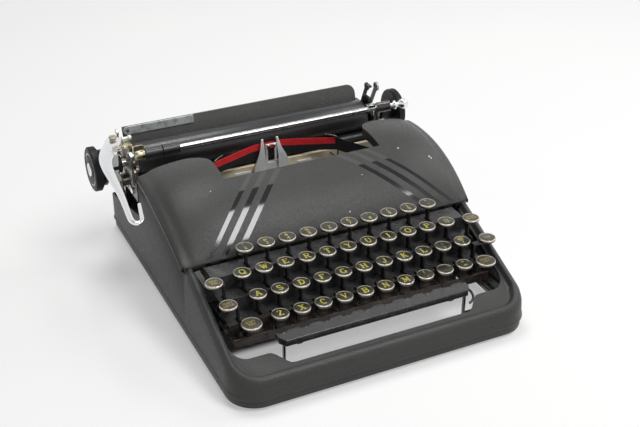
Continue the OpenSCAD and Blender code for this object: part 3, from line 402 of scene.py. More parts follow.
def legend_ink(name="legend_ink", lift=1.0):
    base = shade(chosen("legend"), lift)
    f = Finish(name, base, rough=0.4, coat=0.55, coat_rough=0.08)
    f.colour(f.blend(f.span(f.noise(0.5, 2.0), 0.40, 0.75), base, shade(base, 0.7)))
    return f.mat


FINISHES = {
    "case_paint": lambda: crinkle_paint("case_crinkle_paint", smooth=0.8),
    "cover_paint": lambda: crinkle_paint("cover_crinkle_paint", cover=True),
    "table_paint": lambda: crinkle_paint("table_satin_paint", smooth=0.35, lift=2.5),
    "enamel": black_enamel,
    "tread": lambda: black_enamel("tread_enamel", 3.0, 0.30, 0.35),
    "bar": lambda: black_enamel("space_bar_enamel", 1.5, 0.16, 0.9),
    "knob": lambda: black_enamel("knob_plastic", 0.9, 0.42, 0.0, 0.25),
    # Darkened copy of the crinkle paint: painted shadow of the seam gap under the cover's side edges.
    "seam_shadow": lambda: crinkle_paint("seam_paint", smooth=0.4, lift=0.3),
    "brown": brown_lacquer,
    "lever": lambda: black_enamel("lever_enamel", 1.0, 0.38, 0.1),
    # Grey metal used as painted shade on the key rings' sides and as painted highlight on the key levers' top
    # faces.
    "edge": lambda: plated("rubbed_edge", (0.20, 0.185, 0.165), 0.34, 0.5),
    "dark": lambda: plated("blackened_steel", (0.11, 0.105, 0.10), 0.30, 0.5),
    "nickel": lambda: plated("aged_nickel", chosen("nickel"), 0.2, 0.45, dull=0.5),
    "ring": lambda: plated("key_ring_nickel", (0.58, 0.53, 0.46), 0.3, 0.4, dull=0.6),
    "rod": chrome_rod_painted_shade,
    "chrome": lambda: plated("bright_chrome", (0.84, 0.85, 0.86), 0.12, 0.06),
    "steel": lambda: plated("ground_steel", (0.42, 0.42, 0.41), 0.36, 0.4),
    # Pale base with little metal: painted reflection that keeps the silvered parts pale where real metal would
    # reflect dark surroundings.
    "silver": lambda: plated("silvered_plate", (0.86, 0.88, 0.88), 0.42, 0.3, (1, 1, 0.2), 0.6, 0.3),
    "worn": lambda: plated("worn_plate", (0.80, 0.83, 0.83), 0.36, 0.8, (0.12, 1, 1), 0.25, 0.5),
    # Cream base with little metal: painted light that keeps the brass parts bright though they lie in shadow; the
    # brass tint is their own.
    "brass": lambda: plated("rail_brass", (0.96, 0.84, 0.62), 0.34, 0.3, (0.1, 1, 1), 0.6, 0.25),
    "bronze": lambda: plated("dark_bronze", (0.16, 0.145, 0.11), 0.34, 0.5, dull=0.5),
    # Straw-gold plate; on the left end plate's edge faces it serves as painted highlight.
    "gold": lambda: plated("straw_plate", (0.50, 0.46, 0.33), 0.26, 0.5),
    "rubber": rubber,
    "ribbon": ribbon_cloth,
    "disc": key_disc,
    "brown_disc": lambda: key_disc("function_key_disc", (0.045, 0.036, 0.028), (0.095, 0.080, 0.058)),
    "legend": legend_ink,
    "brown_legend": lambda: legend_ink("function_legend_ink", 0.72),
}
_made = {}


def finish(name):
    if name not in _made:
        _made[name] = FINISHES[name]()
    return _made[name]


# Shaping helpers


def extrude(bm, edges, move=(0, 0, 0)):
    """Extrude edges by an offset and give back the new vertices."""
    out = bmesh.ops.extrude_edge_only(bm, edges=edges)["geom"]
    fresh = [g for g in out if isinstance(g, bmesh.types.BMVert)]
    bmesh.ops.translate(bm, vec=Vector(move) * MM, verts=fresh)
    return fresh


def loft(bm, sections, close=False):
    """Extrude the first section's edges through the stations that follow it."""
    def pairs(verts):
        return list(zip(verts, verts[1:] + (verts[:1] if close else [])))

    row = [bm.verts.new(Vector(p) * MM) for p in sections[0]]
    edges = [bm.edges.new(p) for p in pairs(row)]
    for section in sections[1:]:
        fresh = set(extrude(bm, edges))
        row = [next(e.other_vert(v) for e in v.link_edges if e.other_vert(v) in fresh) for v in row]
        for vert, point in zip(row, section):
            vert.co = Vector(point) * MM
        edges = [bm.edges.get(p) for p in pairs(row)]


def mark_new(bm, before, material):
    for f in bm.faces:
        if f not in before:
            f.material_index = material


def lathe(bm, profile, centre, axis=(0, 0, 1), steps=32, material=0):
    """Turn a profile of (radius, along) points about an axis through centre."""
    axis = Vector(axis)
    side = axis.orthogonal().normalized()
    centre = Vector(centre) * MM
    before = set(bm.faces)
    row = [bm.verts.new(centre + side * r * MM + axis * h * MM) for r, h in profile]
    edges = [bm.edges.new(p) for p in zip(row, row[1:])]
    bmesh.ops.spin(bm, geom=row + edges, cent=centre, axis=axis, angle=2 * math.pi, steps=steps, use_merge=True)
    mark_new(bm, before, material)


def plate(bm, axis, at, outline, thick, material=0):
    """Extrude an outline along an axis, from the plane that lies across it."""
    k = "xyz".index(axis)
    before = set(bm.faces)
    face = bm.faces.new([bm.verts.new(Vector((*p[:k], at, *p[k:])) * MM) for p in outline])
    out = bmesh.ops.extrude_face_region(bm, geom=[face])["geom"]
    move = Vector((0, 0, 0))
    move[k] = thick * MM
    bmesh.ops.translate(bm, vec=move, verts=[g for g in out if isinstance(g, bmesh.types.BMVert)])
    mark_new(bm, before, material)


def oblong(a0, a1, b0, b1):
    return (a0, b0), (a1, b0), (a1, b1), (a0, b1)


def heading(points, i):
    """Direction of a path of points at one of them."""
    return (points[min(i + 1, len(points) - 1)] - points[max(i - 1, 0)]).normalized()


def tube(bm, path, radius, sides=10, material=0):
    """Sweep a small circle along a path of points."""
    points = [Vector(p) for p in path]
    before = set(bm.faces)
    sections = []
    up = None
    for i, p in enumerate(points):
        ahead = heading(points, i)
        up = ahead.orthogonal().normalized() if up is None else (up - ahead * up.dot(ahead)).normalized()
        cross = ahead.cross(up)
        sections.append([p + (up * math.cos(a) + cross * math.sin(a)) * radius
                         for a in (2 * math.pi * k / sides for k in range(sides))])
    loft(bm, sections, close=True)
    bmesh.ops.holes_fill(bm, edges=[e for e in bm.edges if e.is_boundary], sides=sides)
    mark_new(bm, before, material)


def flow(points, steps=6):
    """Points along a smooth curve through the given ones."""
    rows = [Vector(p) for p in points]
    rows = [rows[0] * 2 - rows[1]] + rows + [rows[-1] * 2 - rows[-2]]
    out = []
    for a, b, c, d in zip(rows, rows[1:], rows[2:], rows[3:]):
        for i in range(steps):
            t = i / steps
            square, cube = 2 * a - 5 * b + 4 * c - d, 3 * b - a - 3 * c + d
            out.append(0.5 * (2 * b + (c - a) * t + square * t * t + cube * t ** 3))
    return out + [rows[-2]]


def screw(bm, centre, axis, r, turn=0.6, material=0):
    """A slotted screw head standing on a point."""
    before = set(bm.verts)
    lathe(bm, [(0, 0), (r, 0), (r, r * 0.22), (0, r * 0.22)], (0, 0, 0), steps=24, material=material)
    for way in (0.0, math.pi):
        arc = [(r * 0.98 * math.cos(a + way), r * 0.98 * math.sin(a + way))
               for a in (math.radians(8 + 164 * i / 12) for i in range(13))]
        plate(bm, "z", r * 0.2, arc, r * 0.22, material)
    fresh = [v for v in bm.verts if v not in before]
    spin = Vector(axis).to_track_quat("Z", "Y").to_matrix().to_4x4() @ Matrix.Rotation(turn, 4, "Z")
    bmesh.ops.transform(bm, verts=fresh, matrix=Matrix.Translation(Vector(centre) * MM) @ spin)


def piece(name, bm, body, finishes, replaces=(), sharp=32, bevel=0.0, wall=0.0, outward=True):
    """Turn a bmesh into a piece that rides on a body."""
    if outward:
        bmesh.ops.remove_doubles(bm, verts=bm.verts[:], dist=1e-6)
        bmesh.ops.recalc_face_normals(bm, faces=bm.faces[:])
    for f in bm.faces:
        f.smooth = True
    for e in bm.edges:
        e.smooth = not (len(e.link_faces) == 2 and e.calc_face_angle(0.0) > math.radians(sharp))
    mesh = bpy.data.meshes.new(name)
    bm.to_mesh(mesh)
    bm.free()
    obj = bpy.data.objects.new(name, mesh)
    bpy.context.scene.collection.objects.link(obj)
    for f in finishes:
        mesh.materials.append(finish(f))
    if wall:
        mod = obj.modifiers.new("wall", "SOLIDIFY")
        mod.thickness = wall
        mod.offset = -1.0
        mod.use_even_offset = False
    if bevel:
        mod = obj.modifiers.new("edges", "BEVEL")
        mod.width = bevel * MM
        mod.segments = 2
        mod.limit_method = "ANGLE"
        mod.angle_limit = math.radians(40)
        mod.harden_normals = True
    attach(obj, body)
    if replaces:
        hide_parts(*replaces)
    return obj


def node_mesh(node):
    """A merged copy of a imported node's mesh with its flat faces whole."""
    bm = bmesh.new()
    bm.from_mesh(NODES[node].data)
    bmesh.ops.remove_doubles(bm, verts=bm.verts[:], dist=1e-6)
    bmesh.ops.dissolve_limit(bm, angle_limit=math.radians(0.6), verts=bm.verts[:], edges=bm.edges[:])
    for f in bm.faces:
        f.material_index = 0
    return bm


def dress(node, finish_name, bevel=0.35, second=None, where=None):
    """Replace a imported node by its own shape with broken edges, some faces in a second finish."""
    bm = node_mesh(node)
    if second:
        for f in bm.faces:
            f.material_index = 1 if where(f.calc_center_median() / MM, f.normal) else 0
    finishes = [finish_name, second] if second else [finish_name]
    return piece(node + "_dressed", bm, NODES[node]["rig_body"], finishes, [node], 32, bevel, outward=False)


def dress_all(rows):
    """Dress several nodes: rows of names, finish, slot and bevel."""
    for nodes, tone, slot, bevel in rows:
        for node in nodes.split():
            dress(node, tone, bevel)


def arc_height(y, arc, inset=0.0):
    centre_y, centre_z, radius = arc
    return centre_z + math.sqrt(max(0.0, (radius - inset) ** 2 - (y - centre_y) ** 2))


def top_line(y):
    """Height of the rim round the keyboard, which rises from the front to the seam."""
    return RIM_FRONT_Z + (RIM_SEAM_Z - RIM_FRONT_Z) * (y - FRONT_Y) / (SEAM_Y - FRONT_Y)


# Slab-serif letters for the key tops: strokes of (width, points) on a field 8 wide and 10 high


def bow(cx, cy, rx, ry, start, stop, steps=10):
    turn = [math.radians(start + (stop - start) * i / steps) for i in range(steps + 1)]
    return tuple((cx + rx * math.cos(a), cy + ry * math.sin(a)) for a in turn)


THIN, THICK = 1.15, 1.9


def stroke(width, *numbers):
    return width, tuple(zip(numbers[::2], numbers[1::2]))


def thin(*numbers):
    return stroke(THIN, *numbers)


def thick(*numbers):
    return stroke(THICK, *numbers)


STEM = thick(1.8, 0, 1.8, 10)
HIGH_BOWL = (1.5, ((1.8, 9.4),) + bow(4.4, 7.2, 2.4, 2.2, 90, -90) + ((1.8, 5.0),))
LOW_BOWL = (1.6, ((1.8, 5.0),) + bow(4.7, 2.8, 2.5, 2.2, 90, -90) + ((1.8, 0.6),))
ROUND = (1.65, bow(4, 5, 3.2, 4.5, 90, 450, 20))
TOP_ARM = (thin(1.8, 9.4, 6.6, 9.4), thin(1.8, 5.0, 5.2, 5.0))
TOP_SERIF = thin(6.5, 9.8, 6.5, 7.4)
FOOT = thin(1.8, 0.6, 6.8, 0.6)
LETTERS = {
    "A": (thin(1.2, 0, 4.0, 9.8), thick(4.0, 9.8, 6.9, 0), thin(2.2, 3.3, 5.8, 3.3)),
    "B": (STEM, HIGH_BOWL, LOW_BOWL),
    "C": ((1.65, bow(4.2, 5, 3.2, 4.5, 48, 312, 16)), thin(6.5, 9.6, 6.5, 6.9)),
    "D": (STEM, (1.7, ((1.8, 9.4),) + bow(3.8, 5, 3.2, 4.4, 90, -90, 14) + ((1.8, 0.6),))),
    "E": (STEM, *TOP_ARM, FOOT, TOP_SERIF, thin(6.7, 0.2, 6.7, 2.8)),
    "F": (STEM, *TOP_ARM, TOP_SERIF),
    "G": ((1.65, bow(4.0, 5, 3.2, 4.5, 48, 318, 16)), thick(6.4, 0.4, 6.4, 4.4), thin(4.6, 4.4, 7.6, 4.4)),
    "H": (STEM, thick(6.4, 0, 6.4, 10), thin(1.8, 5.0, 6.4, 5.0)),
    "I": (thick(4, 0, 4, 10),),
    "J": (thick(5.2, 10, 5.2, 2.6), (1.6, bow(3.4, 2.6, 1.8, 2.1, 0, -190, 8))),
    "K": (STEM, thin(6.6, 10, 2.2, 4.6), thick(3.4, 6.0, 6.9, 0)),
    "L": (STEM, FOOT, thin(6.6, 0.2, 6.6, 3.0)),
    "M": (thin(1.0, 0, 1.0, 10), thick(1.4, 9.8, 4.1, 1.4), thin(4.1, 1.4, 6.8, 9.8), thick(7.0, 10, 7.0, 0)),
    "N": (thin(1.4, 0, 1.4, 10), thick(1.6, 9.8, 6.4, 0.4), thin(6.6, 0.3, 6.6, 10)),
    "O": (ROUND,),
    "P": (STEM, HIGH_BOWL),
    "Q": (ROUND, thick(4.2, 2.6, 7.2, -0.6)),
    "R": (STEM, HIGH_BOWL, thick(4.0, 5.0, 6.8, 0)),
    "S": ((1.7, bow(4.0, 7.2, 2.5, 2.2, 30, 260, 10) + bow(4.0, 2.8, 2.7, 2.2, 80, -150, 10)),),
    "T": (thick(4, 9.6, 4, 0), thin(0.8, 9.4, 7.2, 9.4), thin(1.1, 9.8, 1.1, 7.2), thin(6.9, 9.8, 6.9, 7.2)),
    "U": (thick(1.7, 10, 1.7, 3.2), (1.5, bow(4.05, 3.2, 2.35, 2.6, 180, 360, 10)), thin(6.4, 3.2, 6.4, 10)),
    "V": (thick(1.0, 10, 4.0, 0.4), thin(4.0, 0.4, 7.0, 10)),
    "W": (thick(0.4, 10, 2.5, 0.4), thin(2.5, 0.4, 4.0, 8.6), thick(4.0, 8.6, 5.6, 0.4), thin(5.6, 0.4, 7.6, 10)),
    "X": (thick(1.3, 10, 6.8, 0), thin(6.6, 10, 1.2, 0)),
    "Y": (thick(1.0, 10, 4.0, 4.6), thin(7.0, 10, 4.0, 4.6), thick(4.0, 5.0, 4.0, 0)),
    "Z": (thin(1.4, 9.4, 6.6, 9.4), thick(6.3, 9.2, 1.7, 0.8), thin(1.4, 0.6, 6.8, 0.6), thin(1.5, 9.8, 1.5, 7.4),
          thin(6.6, 0.2, 6.6, 2.8)),
}


def stencil(bm, letter, centre, height, level):
    """Lay a letter's strokes as flat strips, with a serif across each upright end."""
    strokes = list(LETTERS[letter])
    for _, path in LETTERS[letter]:
        if len(path) == 2 and path[0][1] != path[1][1]:
            ends = [(px, 0.45 if py == 0 else 9.55) for px, py in path if py in (0, 10)]
            strokes += [(0.95, ((px - 1.5, py), (px + 1.5, py))) for px, py in ends]
    scale = height / 10
    for width, path in strokes:
        points = [Vector(p) for p in path]
        if len(points) == 2:
            points = [points[0].lerp(points[1], i / 7) for i in range(8)]
        sections = []
        for i, p in enumerate(points):
            ahead = heading(points, i)
            side = Vector((-ahead.y, ahead.x)) * width / 2
            spots = [centre + (q - Vector((4, 5))) * scale for q in (p + side, p - side)]
            sections.append([(q.x, q.y, level(q.x, q.y)) for q in spots])
        loft(bm, sections)
    for f in bm.faces:
        f.normal_update()
        if f.normal.z < 0:
            f.normal_flip()


# Operators


class TYPEWRITER_OT_stage(bpy.types.Operator):
    """Floor, light and camera"""

    bl_idname = "typewriter.stage"
    bl_label = "Stage"

    # Soft boxes: place, width, height and power; all face the aim
    LAMPS = (("front_softbox", (0.47, -0.82, 1.60), 0.58, 0.92, 15.0),
             ("top_softbox", (0.0, 0.62, 1.90), 0.8, 0.8, 15.0),
             ("right_softbox", (1.5, 0.1, 1.35), 1.0, 1.0, 9.0))
    AIM = Vector((0.0, 0.0, 0.05))

    # Floor's glow for the camera, by the machine and far from it, and where that change begins and ends
    NEAR_GLOW, FAR_GLOW, NEAR, FAR = 0.40, 0.86, 1000.0, 2200.0

    # Sky's grey by height, and its strength as light and as what is seen
    SKY = ((0.42, (0.95, 0.95, 0.95, 1)), (0.85, (0.26, 0.26, 0.27, 1)))
    SKY_LIGHT, SKY_SEEN = 0.18, 0.95

    # Camera fitted to the photograph: lens, place, and tilt and turn in degrees
    LENS, EYE, TILT, TURN = 61.9, (-0.3601, -0.78035, 0.549), 29.48, -25.58

    def execute(self, context):
        bm = bmesh.new()
        bmesh.ops.create_grid(bm, x_segments=8, y_segments=8, size=6.0)
        mesh = bpy.data.meshes.new("studio_floor")
        bm.to_mesh(mesh)
        bm.free()
        floor = bpy.data.objects.new("studio_floor", mesh)
        context.scene.collection.objects.link(floor)
        mesh.materials.append(self.floor_finish())
        for name, place, width, height, power in self.LAMPS:
            data = bpy.data.lights.new(name, "AREA")
            data.shape = "RECTANGLE"
            data.size, data.size_y, data.energy = width, height, power
            lamp = bpy.data.objects.new(name, data)
            lamp.location = place
            lamp.rotation_euler = (self.AIM - Vector(place)).to_track_quat("-Z", "Y").to_euler()
            context.scene.collection.objects.link(lamp)
        self.world(context)
        self.camera(context)
        return {"FINISHED"}

    def floor_finish(self):
        """Light grey that glows where it is seen, but not under the machine."""
        f = Finish("studio_floor", (0.6, 0.6, 0.6), rough=0.9, specular=0.0)
        f.colour(f.blend(f.span(f.noise(0.002, 2.0), 0.3, 0.7), (0.60, 0.60, 0.60), (0.62, 0.615, 0.61)))
        f.bsdf.inputs["Emission Color"].default_value = (1.0, 1.0, 1.0, 1.0)
        x, y = f.axes()[0], f.axes()[1]
        inside = f.times(f.span(f.absolute(x), 112.0, 124.0, 1.0, 0.0), f.span(y, -92.0, -82.0))
        inside = f.times(inside, f.span(y, 146.0, 158.0, 1.0, 0.0))
        glow = f.times(f.seen(), f.minus(1.0, inside))
        away = f.maths("SQRT", f.plus(f.times(x, x), f.times(y, y)))
        glow = f.times(glow, f.span(away, self.NEAR, self.FAR, self.NEAR_GLOW, self.FAR_GLOW))
        f.join(glow, f.bsdf.inputs["Emission Strength"])
        return f.mat

    def world(self, context):
        world = bpy.data.worlds.new("studio")
        world.use_nodes = True
        nodes = Nodes(world.node_tree)
        shell = nodes.tree.nodes["Background"]
        place = nodes.add("ShaderNodeTexCoord")
        split = nodes.add("ShaderNodeSeparateXYZ")
        ramp = nodes.add("ShaderNodeValToRGB")
        for stop, (height, grey) in zip(ramp.color_ramp.elements, self.SKY):
            stop.position, stop.color = height, grey
        level = nodes.add("ShaderNodeMapRange")
        level.inputs["To Min"].default_value = self.SKY_LIGHT
        level.inputs["To Max"].default_value = self.SKY_SEEN
        for source, target in ((place.outputs["Generated"], split.inputs[0]), (split.outputs[2], ramp.inputs[0]),
                               (ramp.outputs[0], shell.inputs[0]), (nodes.seen(), level.inputs["Value"]),
                               (level.outputs[0], shell.inputs[1])):
            nodes.join(source, target)
        context.scene.world = world

    def camera(self, context):
        data = bpy.data.cameras.new("photo_camera")
        data.lens, data.sensor_width, data.sensor_fit = self.LENS, 36.0, "HORIZONTAL"
        data.clip_start = 0.01
        camera = bpy.data.objects.new("photo_camera", data)
        camera.location = self.EYE
        camera.rotation_euler = (math.radians(90 - self.TILT), 0.0, math.radians(self.TURN))
        context.scene.collection.objects.link(camera)
        context.scene.camera = camera
        context.scene.view_settings.view_transform = "Standard"


class TYPEWRITER_OT_case(bpy.types.Operator):
    """Pressed case: the keyboard surround with its crest and ledge, and the side and rear walls"""

    bl_idname = "typewriter.case"
    bl_label = "Case"

    # Section of the rim as distances in from the outer face: its skirt by height over the lower edge,
    # then its crest by height over the top line. Past CREST_END its fall is drawn in where the opening is near.
    SKIRT = ((0.9, -7.0), (0.85, -3.5), (0.9, -0.5), (0.1, -0.2), (-0.5, 0.7), (-0.45, 1.9), (0.15, 2.9),
             (0.35, 5.0))
    CREST = ((0.9, -6.2), (1.9, -3.2), (3.4, -1.2), (5.2, -0.2), (6.8, -0.15), (8.3, -1.2), (9.6, -3.2),
             (11.0, -5.2), (12.6, -6.0))
    CREST_END = 6.8

    # Keyboard opening: half width, centre of its corners, and the front edge of its ledge with a step at each end
    OPENING_X, OPENING_CORNER_X, OPENING_CORNER_Y = 125.5, 112.0, -121.5
    OPENING_RX, OPENING_RY = 13.5, 15.0
    LEDGE_Y, LEDGE_STEP, STEP_X, STEP_W = -149.0, 12.5, 80.0, 16.0

    # Depth of the flange under the ledge, in front and at the sides
    FLANGE_FRONT, FLANGE_SIDE = 12.2, 25.2

    # Rear half of the case: where the cover's side ends, height there and at the rear, and the rear corners
    SIDE_END_Y, SIDE_END_Z, REAR_Z, REAR_CORNER, REAR_R = 61.0, 61.0, 36.0, (128.5, 158.0), 7.0

    def surround_stations(self):
        """Outer point, inward direction and inner edge point for each station round the keyboard."""
        left = []
        for i in range(13):
            outer = (-SIDE_X, LEDGE_END_Y + (CORNER_Y - LEDGE_END_Y) * i / 12)
            inner = (-self.OPENING_X, LEDGE_END_Y + (self.OPENING_CORNER_Y - LEDGE_END_Y) * i / 12)
            left.append((outer, (1.0, 0.0), inner))
        for i in range(1, 13):
            a = math.radians(90.0 * i / 12)
            outer = (-CORNER_X - CORNER_R * math.cos(a), CORNER_Y - CORNER_R * math.sin(a))
            inner = (-self.OPENING_CORNER_X - self.OPENING_RX * math.cos(a),
                     self.OPENING_CORNER_Y - self.OPENING_RY * math.sin(a))
            left.append((outer, (math.cos(a), math.sin(a)), inner))
        for x in (-106, -101, -97, -94, -91, -88, -85, -82, -79, -76, -60, -30):
            ease = min(1.0, max(0.0, (abs(x) - self.STEP_X) / self.STEP_W))
            y_in = self.LEDGE_Y + self.LEDGE_STEP * ease * ease * (3 - 2 * ease)
            left.append(((x * CORNER_X / self.OPENING_CORNER_X, FRONT_Y), (0.0, 1.0), (x, y_in)))
        right = [((-o[0], o[1]), (-n[0], n[1]), (-i[0], i[1])) for o, n, i in reversed(left)]
        return left + [((0, FRONT_Y), (0.0, 1.0), (0, self.LEDGE_Y))] + right

    def rim(self, outer, inward, inner):
        """Points of the rim at one station, from its lower edge over the crest to the foot of the inner flange."""
        row = [(outer[0] + inward[0] * d, outer[1] + inward[1] * d, EDGE_Z + low) for d, low in self.SKIRT]
        reach = (inner[0] - outer[0]) * inward[0] + (inner[1] - outer[1]) * inward[1]
        steep = min(1.0, max(0.3, (reach - self.CREST_END - 0.8) / (self.CREST[-1][0] - self.CREST_END)))
        for d, rise in self.CREST:
            d = min(d, self.CREST_END) + max(0.0, d - self.CREST_END) * steep
            x, y = outer[0] + inward[0] * d, outer[1] + inward[1] * d
            row.append((x, y, top_line(y) + rise))
        row.append((*inner, top_line(inner[1]) - LEDGE_DROP))
        away = Vector((outer[0] - inner[0], outer[1] - inner[1])).normalized()
        aside = min(1.0, max(0.0, (abs(inner[0]) - 100.0) / 16.0))
        deep = self.FLANGE_FRONT + (self.FLANGE_SIDE - self.FLANGE_FRONT) * aside
        for d, drop in ((-0.4, 6.6), (-0.5, 7.4), (-0.5, deep)):
            x, y = inner[0] + away[0] * d, inner[1] + away[1] * d
            row.append((x, y, max(6.0, top_line(y) - drop)))
        return row

    def on_shaded_flange(self, face):
        c = face.calc_center_median() / MM
        return abs(c.x) < self.OPENING_X + 4.0 and self.LEDGE_Y - 1.5 < c.y < SEAM_Y and top_line(c.y) - c.z > 6.9

    def execute(self, context):
        bm = bmesh.new()
        loft(bm, [self.rim(*station) for station in self.surround_stations()])
        self.walls(bm)
        # Faces of the inner flange under the ledge take the near-black rubber finish: painted shade of the cavity
        # behind the ledge.
        for f in bm.faces:
            f.material_index = 1 if self.on_shaded_flange(f) else 0
        piece("case_shell", bm, "machine", ["case_paint", "rubber"], ["case"], 60,
              wall=context.scene.typewriter_sizes.wall)
        return {"FINISHED"}

    def rear_top(self, y):
        fall = (y - self.SIDE_END_Y) / (REAR_Y - self.SIDE_END_Y)
        return self.SIDE_END_Z - (self.SIDE_END_Z - self.REAR_Z) * fall

    def walls(self, bm):
        """Side panels behind the seam and the rear wall, carrying on the surround's outer face."""
        corner_x, corner_y = self.REAR_CORNER
        stations = []
        for i in range(25):
            y = LEDGE_END_Y + (self.SIDE_END_Y - 0.1 - LEDGE_END_Y) * i / 24
            stations.append((-SIDE_X, y, top_line(LEDGE_END_Y) - 6.2 if i == 0 else arc_height(y, RIDGE, 4.5)))
        stations.append((-SIDE_X, self.SIDE_END_Y + 0.1, self.SIDE_END_Z))
        for i in range(8):
            y = 66.0 + (corner_y - 66.0) * i / 7
            stations.append((-SIDE_X, y, self.rear_top(y)))
        for i in range(1, 7):
            a = math.radians(90.0 * i / 6)
            y = corner_y + self.REAR_R * math.sin(a)
            stations.append((-corner_x - self.REAR_R * math.cos(a), y, self.rear_top(y)))
        stations.append((0.0, REAR_Y, self.REAR_Z))
        stations += [(-x, y, z) for x, y, z in reversed(stations[:-1])]
        sections = []
        for x, y, z in stations:
            out = Vector((x, y)) - Vector((math.copysign(min(abs(x), corner_x), x), min(y, corner_y)))
            out = out.normalized()
            lean = 0.35 + 0.55 * max(0.0, 1.0 - (y - LEDGE_END_Y) / 60.0)
            rows = [(d, EDGE_Z + low) for d, low in self.SKIRT] + [(lean, z)]
            sections.append([(x - out[0] * d, y - out[1] * d, h) for d, h in rows])
        loft(bm, sections)
        bmesh.ops.remove_doubles(bm, verts=bm.verts[:], dist=2e-5)
        for v in extrude(bm, [e for e in bm.edges if e.is_boundary and all(map(self.on_rim, e.verts))]):
            v.co.x -= math.copysign(0.5 * MM, v.co.x) if abs(v.co.x) > 0.13 else 0.0
            v.co.y -= 0.5 * MM if v.co.y > 0.16 else 0.0
            v.co.z += 0.35 * MM

    def on_rim(self, v):
        """Whether a vertex lies on the top edge of the side panels or of the rear wall."""
        side = v.co.y > (LEDGE_END_Y - 0.1) * MM and abs(v.co.x) > 0.134
        return v.co.z > 0.03 and (side or v.co.y > 0.157)


class TYPEWRITER_OT_cover(bpy.types.Operator):
    """Hinged ribbon cover with its aperture, shoulders and stripes"""

    bl_idname = "typewriter.cover"
    bl_label = "Ribbon cover"

    # Half width of the cover at the seam and its swell behind it; where the shoulders begin
    SEAM_X, SWELL, SHOULDER_X = 136.4, 2.6, 84.0

    # Groove along the cover's side edge: distance in from it, width and depth
    GROOVE_IN, GROOVE_W, GROOVE_DEPTH = 8.0, 3.4, 0.9

    # Aperture: its front edge, half width, and where its rounded rear corners begin
    FRONT_END_Y, APERTURE_X, APERTURE_Y, APERTURE_R = 4.0, 75.0, 33.0, 22.0

    def half(self, y):
        return self.SEAM_X + self.SWELL * math.sin(math.radians(162.0) * min(1.0, max(0.0, (y - SEAM_Y) / 108.0)))

    def height(self, y, t):
        top, side = arc_height(y, CROWN), arc_height(y, RIDGE)
        bend = (1 - math.sqrt(1 - (0.92 * t) ** 2)) / (1 - math.sqrt(1 - 0.92 ** 2))
        return top - max(0.0, top - side) * bend

    def point(self, x, y):
        t = min(1.0, max(0.0, (abs(x) - self.SHOULDER_X) / (self.half(y) - self.SHOULDER_X)))
        return (x, y, self.height(y, t))

    def inner(self, y):
        if y <= self.APERTURE_Y:
            return self.APERTURE_X
        across = math.sqrt(max(0.0, self.APERTURE_R ** 2 - (y - self.APERTURE_Y) ** 2))
        return self.APERTURE_X + self.APERTURE_R - across

    def wing(self, y, side):
        """Lip, edge roll and shoulder of one side, out to in."""
        half = self.half(y)
        edge = self.height(y, 1.0)
        row = [(half - 0.1, edge - 4.0), (half, edge - 2.2), (half - 0.1, edge - 1.0)]
        columns = 30
        start, stop = half - 0.5, self.inner(y)
        for i in range(columns + 1):
            x = start + (stop - start) * i / columns
            groove = self.GROOVE_DEPTH * math.exp(-((half - self.GROOVE_IN - x) / self.GROOVE_W) ** 2)
            row.append((x, self.point(x, y)[2] - groove - (0.25 if i == 0 else 0.0)))
        return [(side * x, y, z) for x, z in row]

    def execute(self, context):
        bm = bmesh.new()
        front = [SEAM_Y + (self.FRONT_END_Y - SEAM_Y) * i / 20 for i in range(21)]
        rear = [self.FRONT_END_Y + (self.APERTURE_Y - self.FRONT_END_Y) * i / 8 for i in range(1, 9)]
        rear += [self.APERTURE_Y + self.APERTURE_R * math.sin(math.radians(90 * i / 12)) for i in range(1, 13)]
        for side in (-1, 1):
            loft(bm, [self.wing(y, side) for y in front + rear])
        loft(bm, [[self.point(self.APERTURE_X * (i / 15 - 1), y) for i in range(31)] for y in front])
        bmesh.ops.remove_doubles(bm, verts=bm.verts[:], dist=2e-5)
        bmesh.ops.recalc_face_normals(bm, faces=bm.faces[:])
        extrude(bm, [e for e in bm.edges if e.is_boundary and self.on_aperture(e)], (0, 0, -9.0))
        fold = [e for e in bm.edges if len(e.link_faces) == 2 and e.calc_face_angle(0.0) > math.radians(50)
                and abs(e.verts[0].co.x) < 0.134]
        bmesh.ops.bevel(bm, geom=fold, offset=1.3 * MM, offset_type="OFFSET", affect="EDGES", segments=3,
                        profile=0.5, material=-1, clamp_overlap=True)
        seam = [e for e in bm.edges if e.is_boundary
                and all(abs(v.co.y - SEAM_Y * MM) < 1e-5 and abs(v.co.x) < 0.1352 for v in e.verts)]
        for step in ((0.0, -0.25, -0.5), (0.0, -0.05, -0.5), (0.0, 0.5, -5.2)):
            fresh = set(extrude(bm, seam, step))
            seam = [e for e in bm.edges if all(v in fresh for v in e.verts)]
        # The lip faces along the cover's side edges take the darkened seam paint, a painted shadow of the gap under
        # the edge.
        for f in bm.faces:
            c = f.calc_center_median() / MM
            f.material_index = 1 if abs(c.x) > self.half(c.y) - 0.45 and c.z < self.height(c.y, 1.0) - 0.3 else 0
        piece("cover_shell", bm, "cover", ["cover_paint", "seam_shadow"], ["ribbon_cover"], 60,
              wall=context.scene.typewriter_sizes.wall)
        return {"FINISHED"}

    def on_aperture(self, edge):
        end = self.APERTURE_Y + self.APERTURE_R - 0.01
        for v in edge.verts:
            x, y = abs(v.co.x) / MM, v.co.y / MM
            if y < self.FRONT_END_Y - 0.1 or x > self.inner(min(y, end)) + 0.4:
                return False
        return True


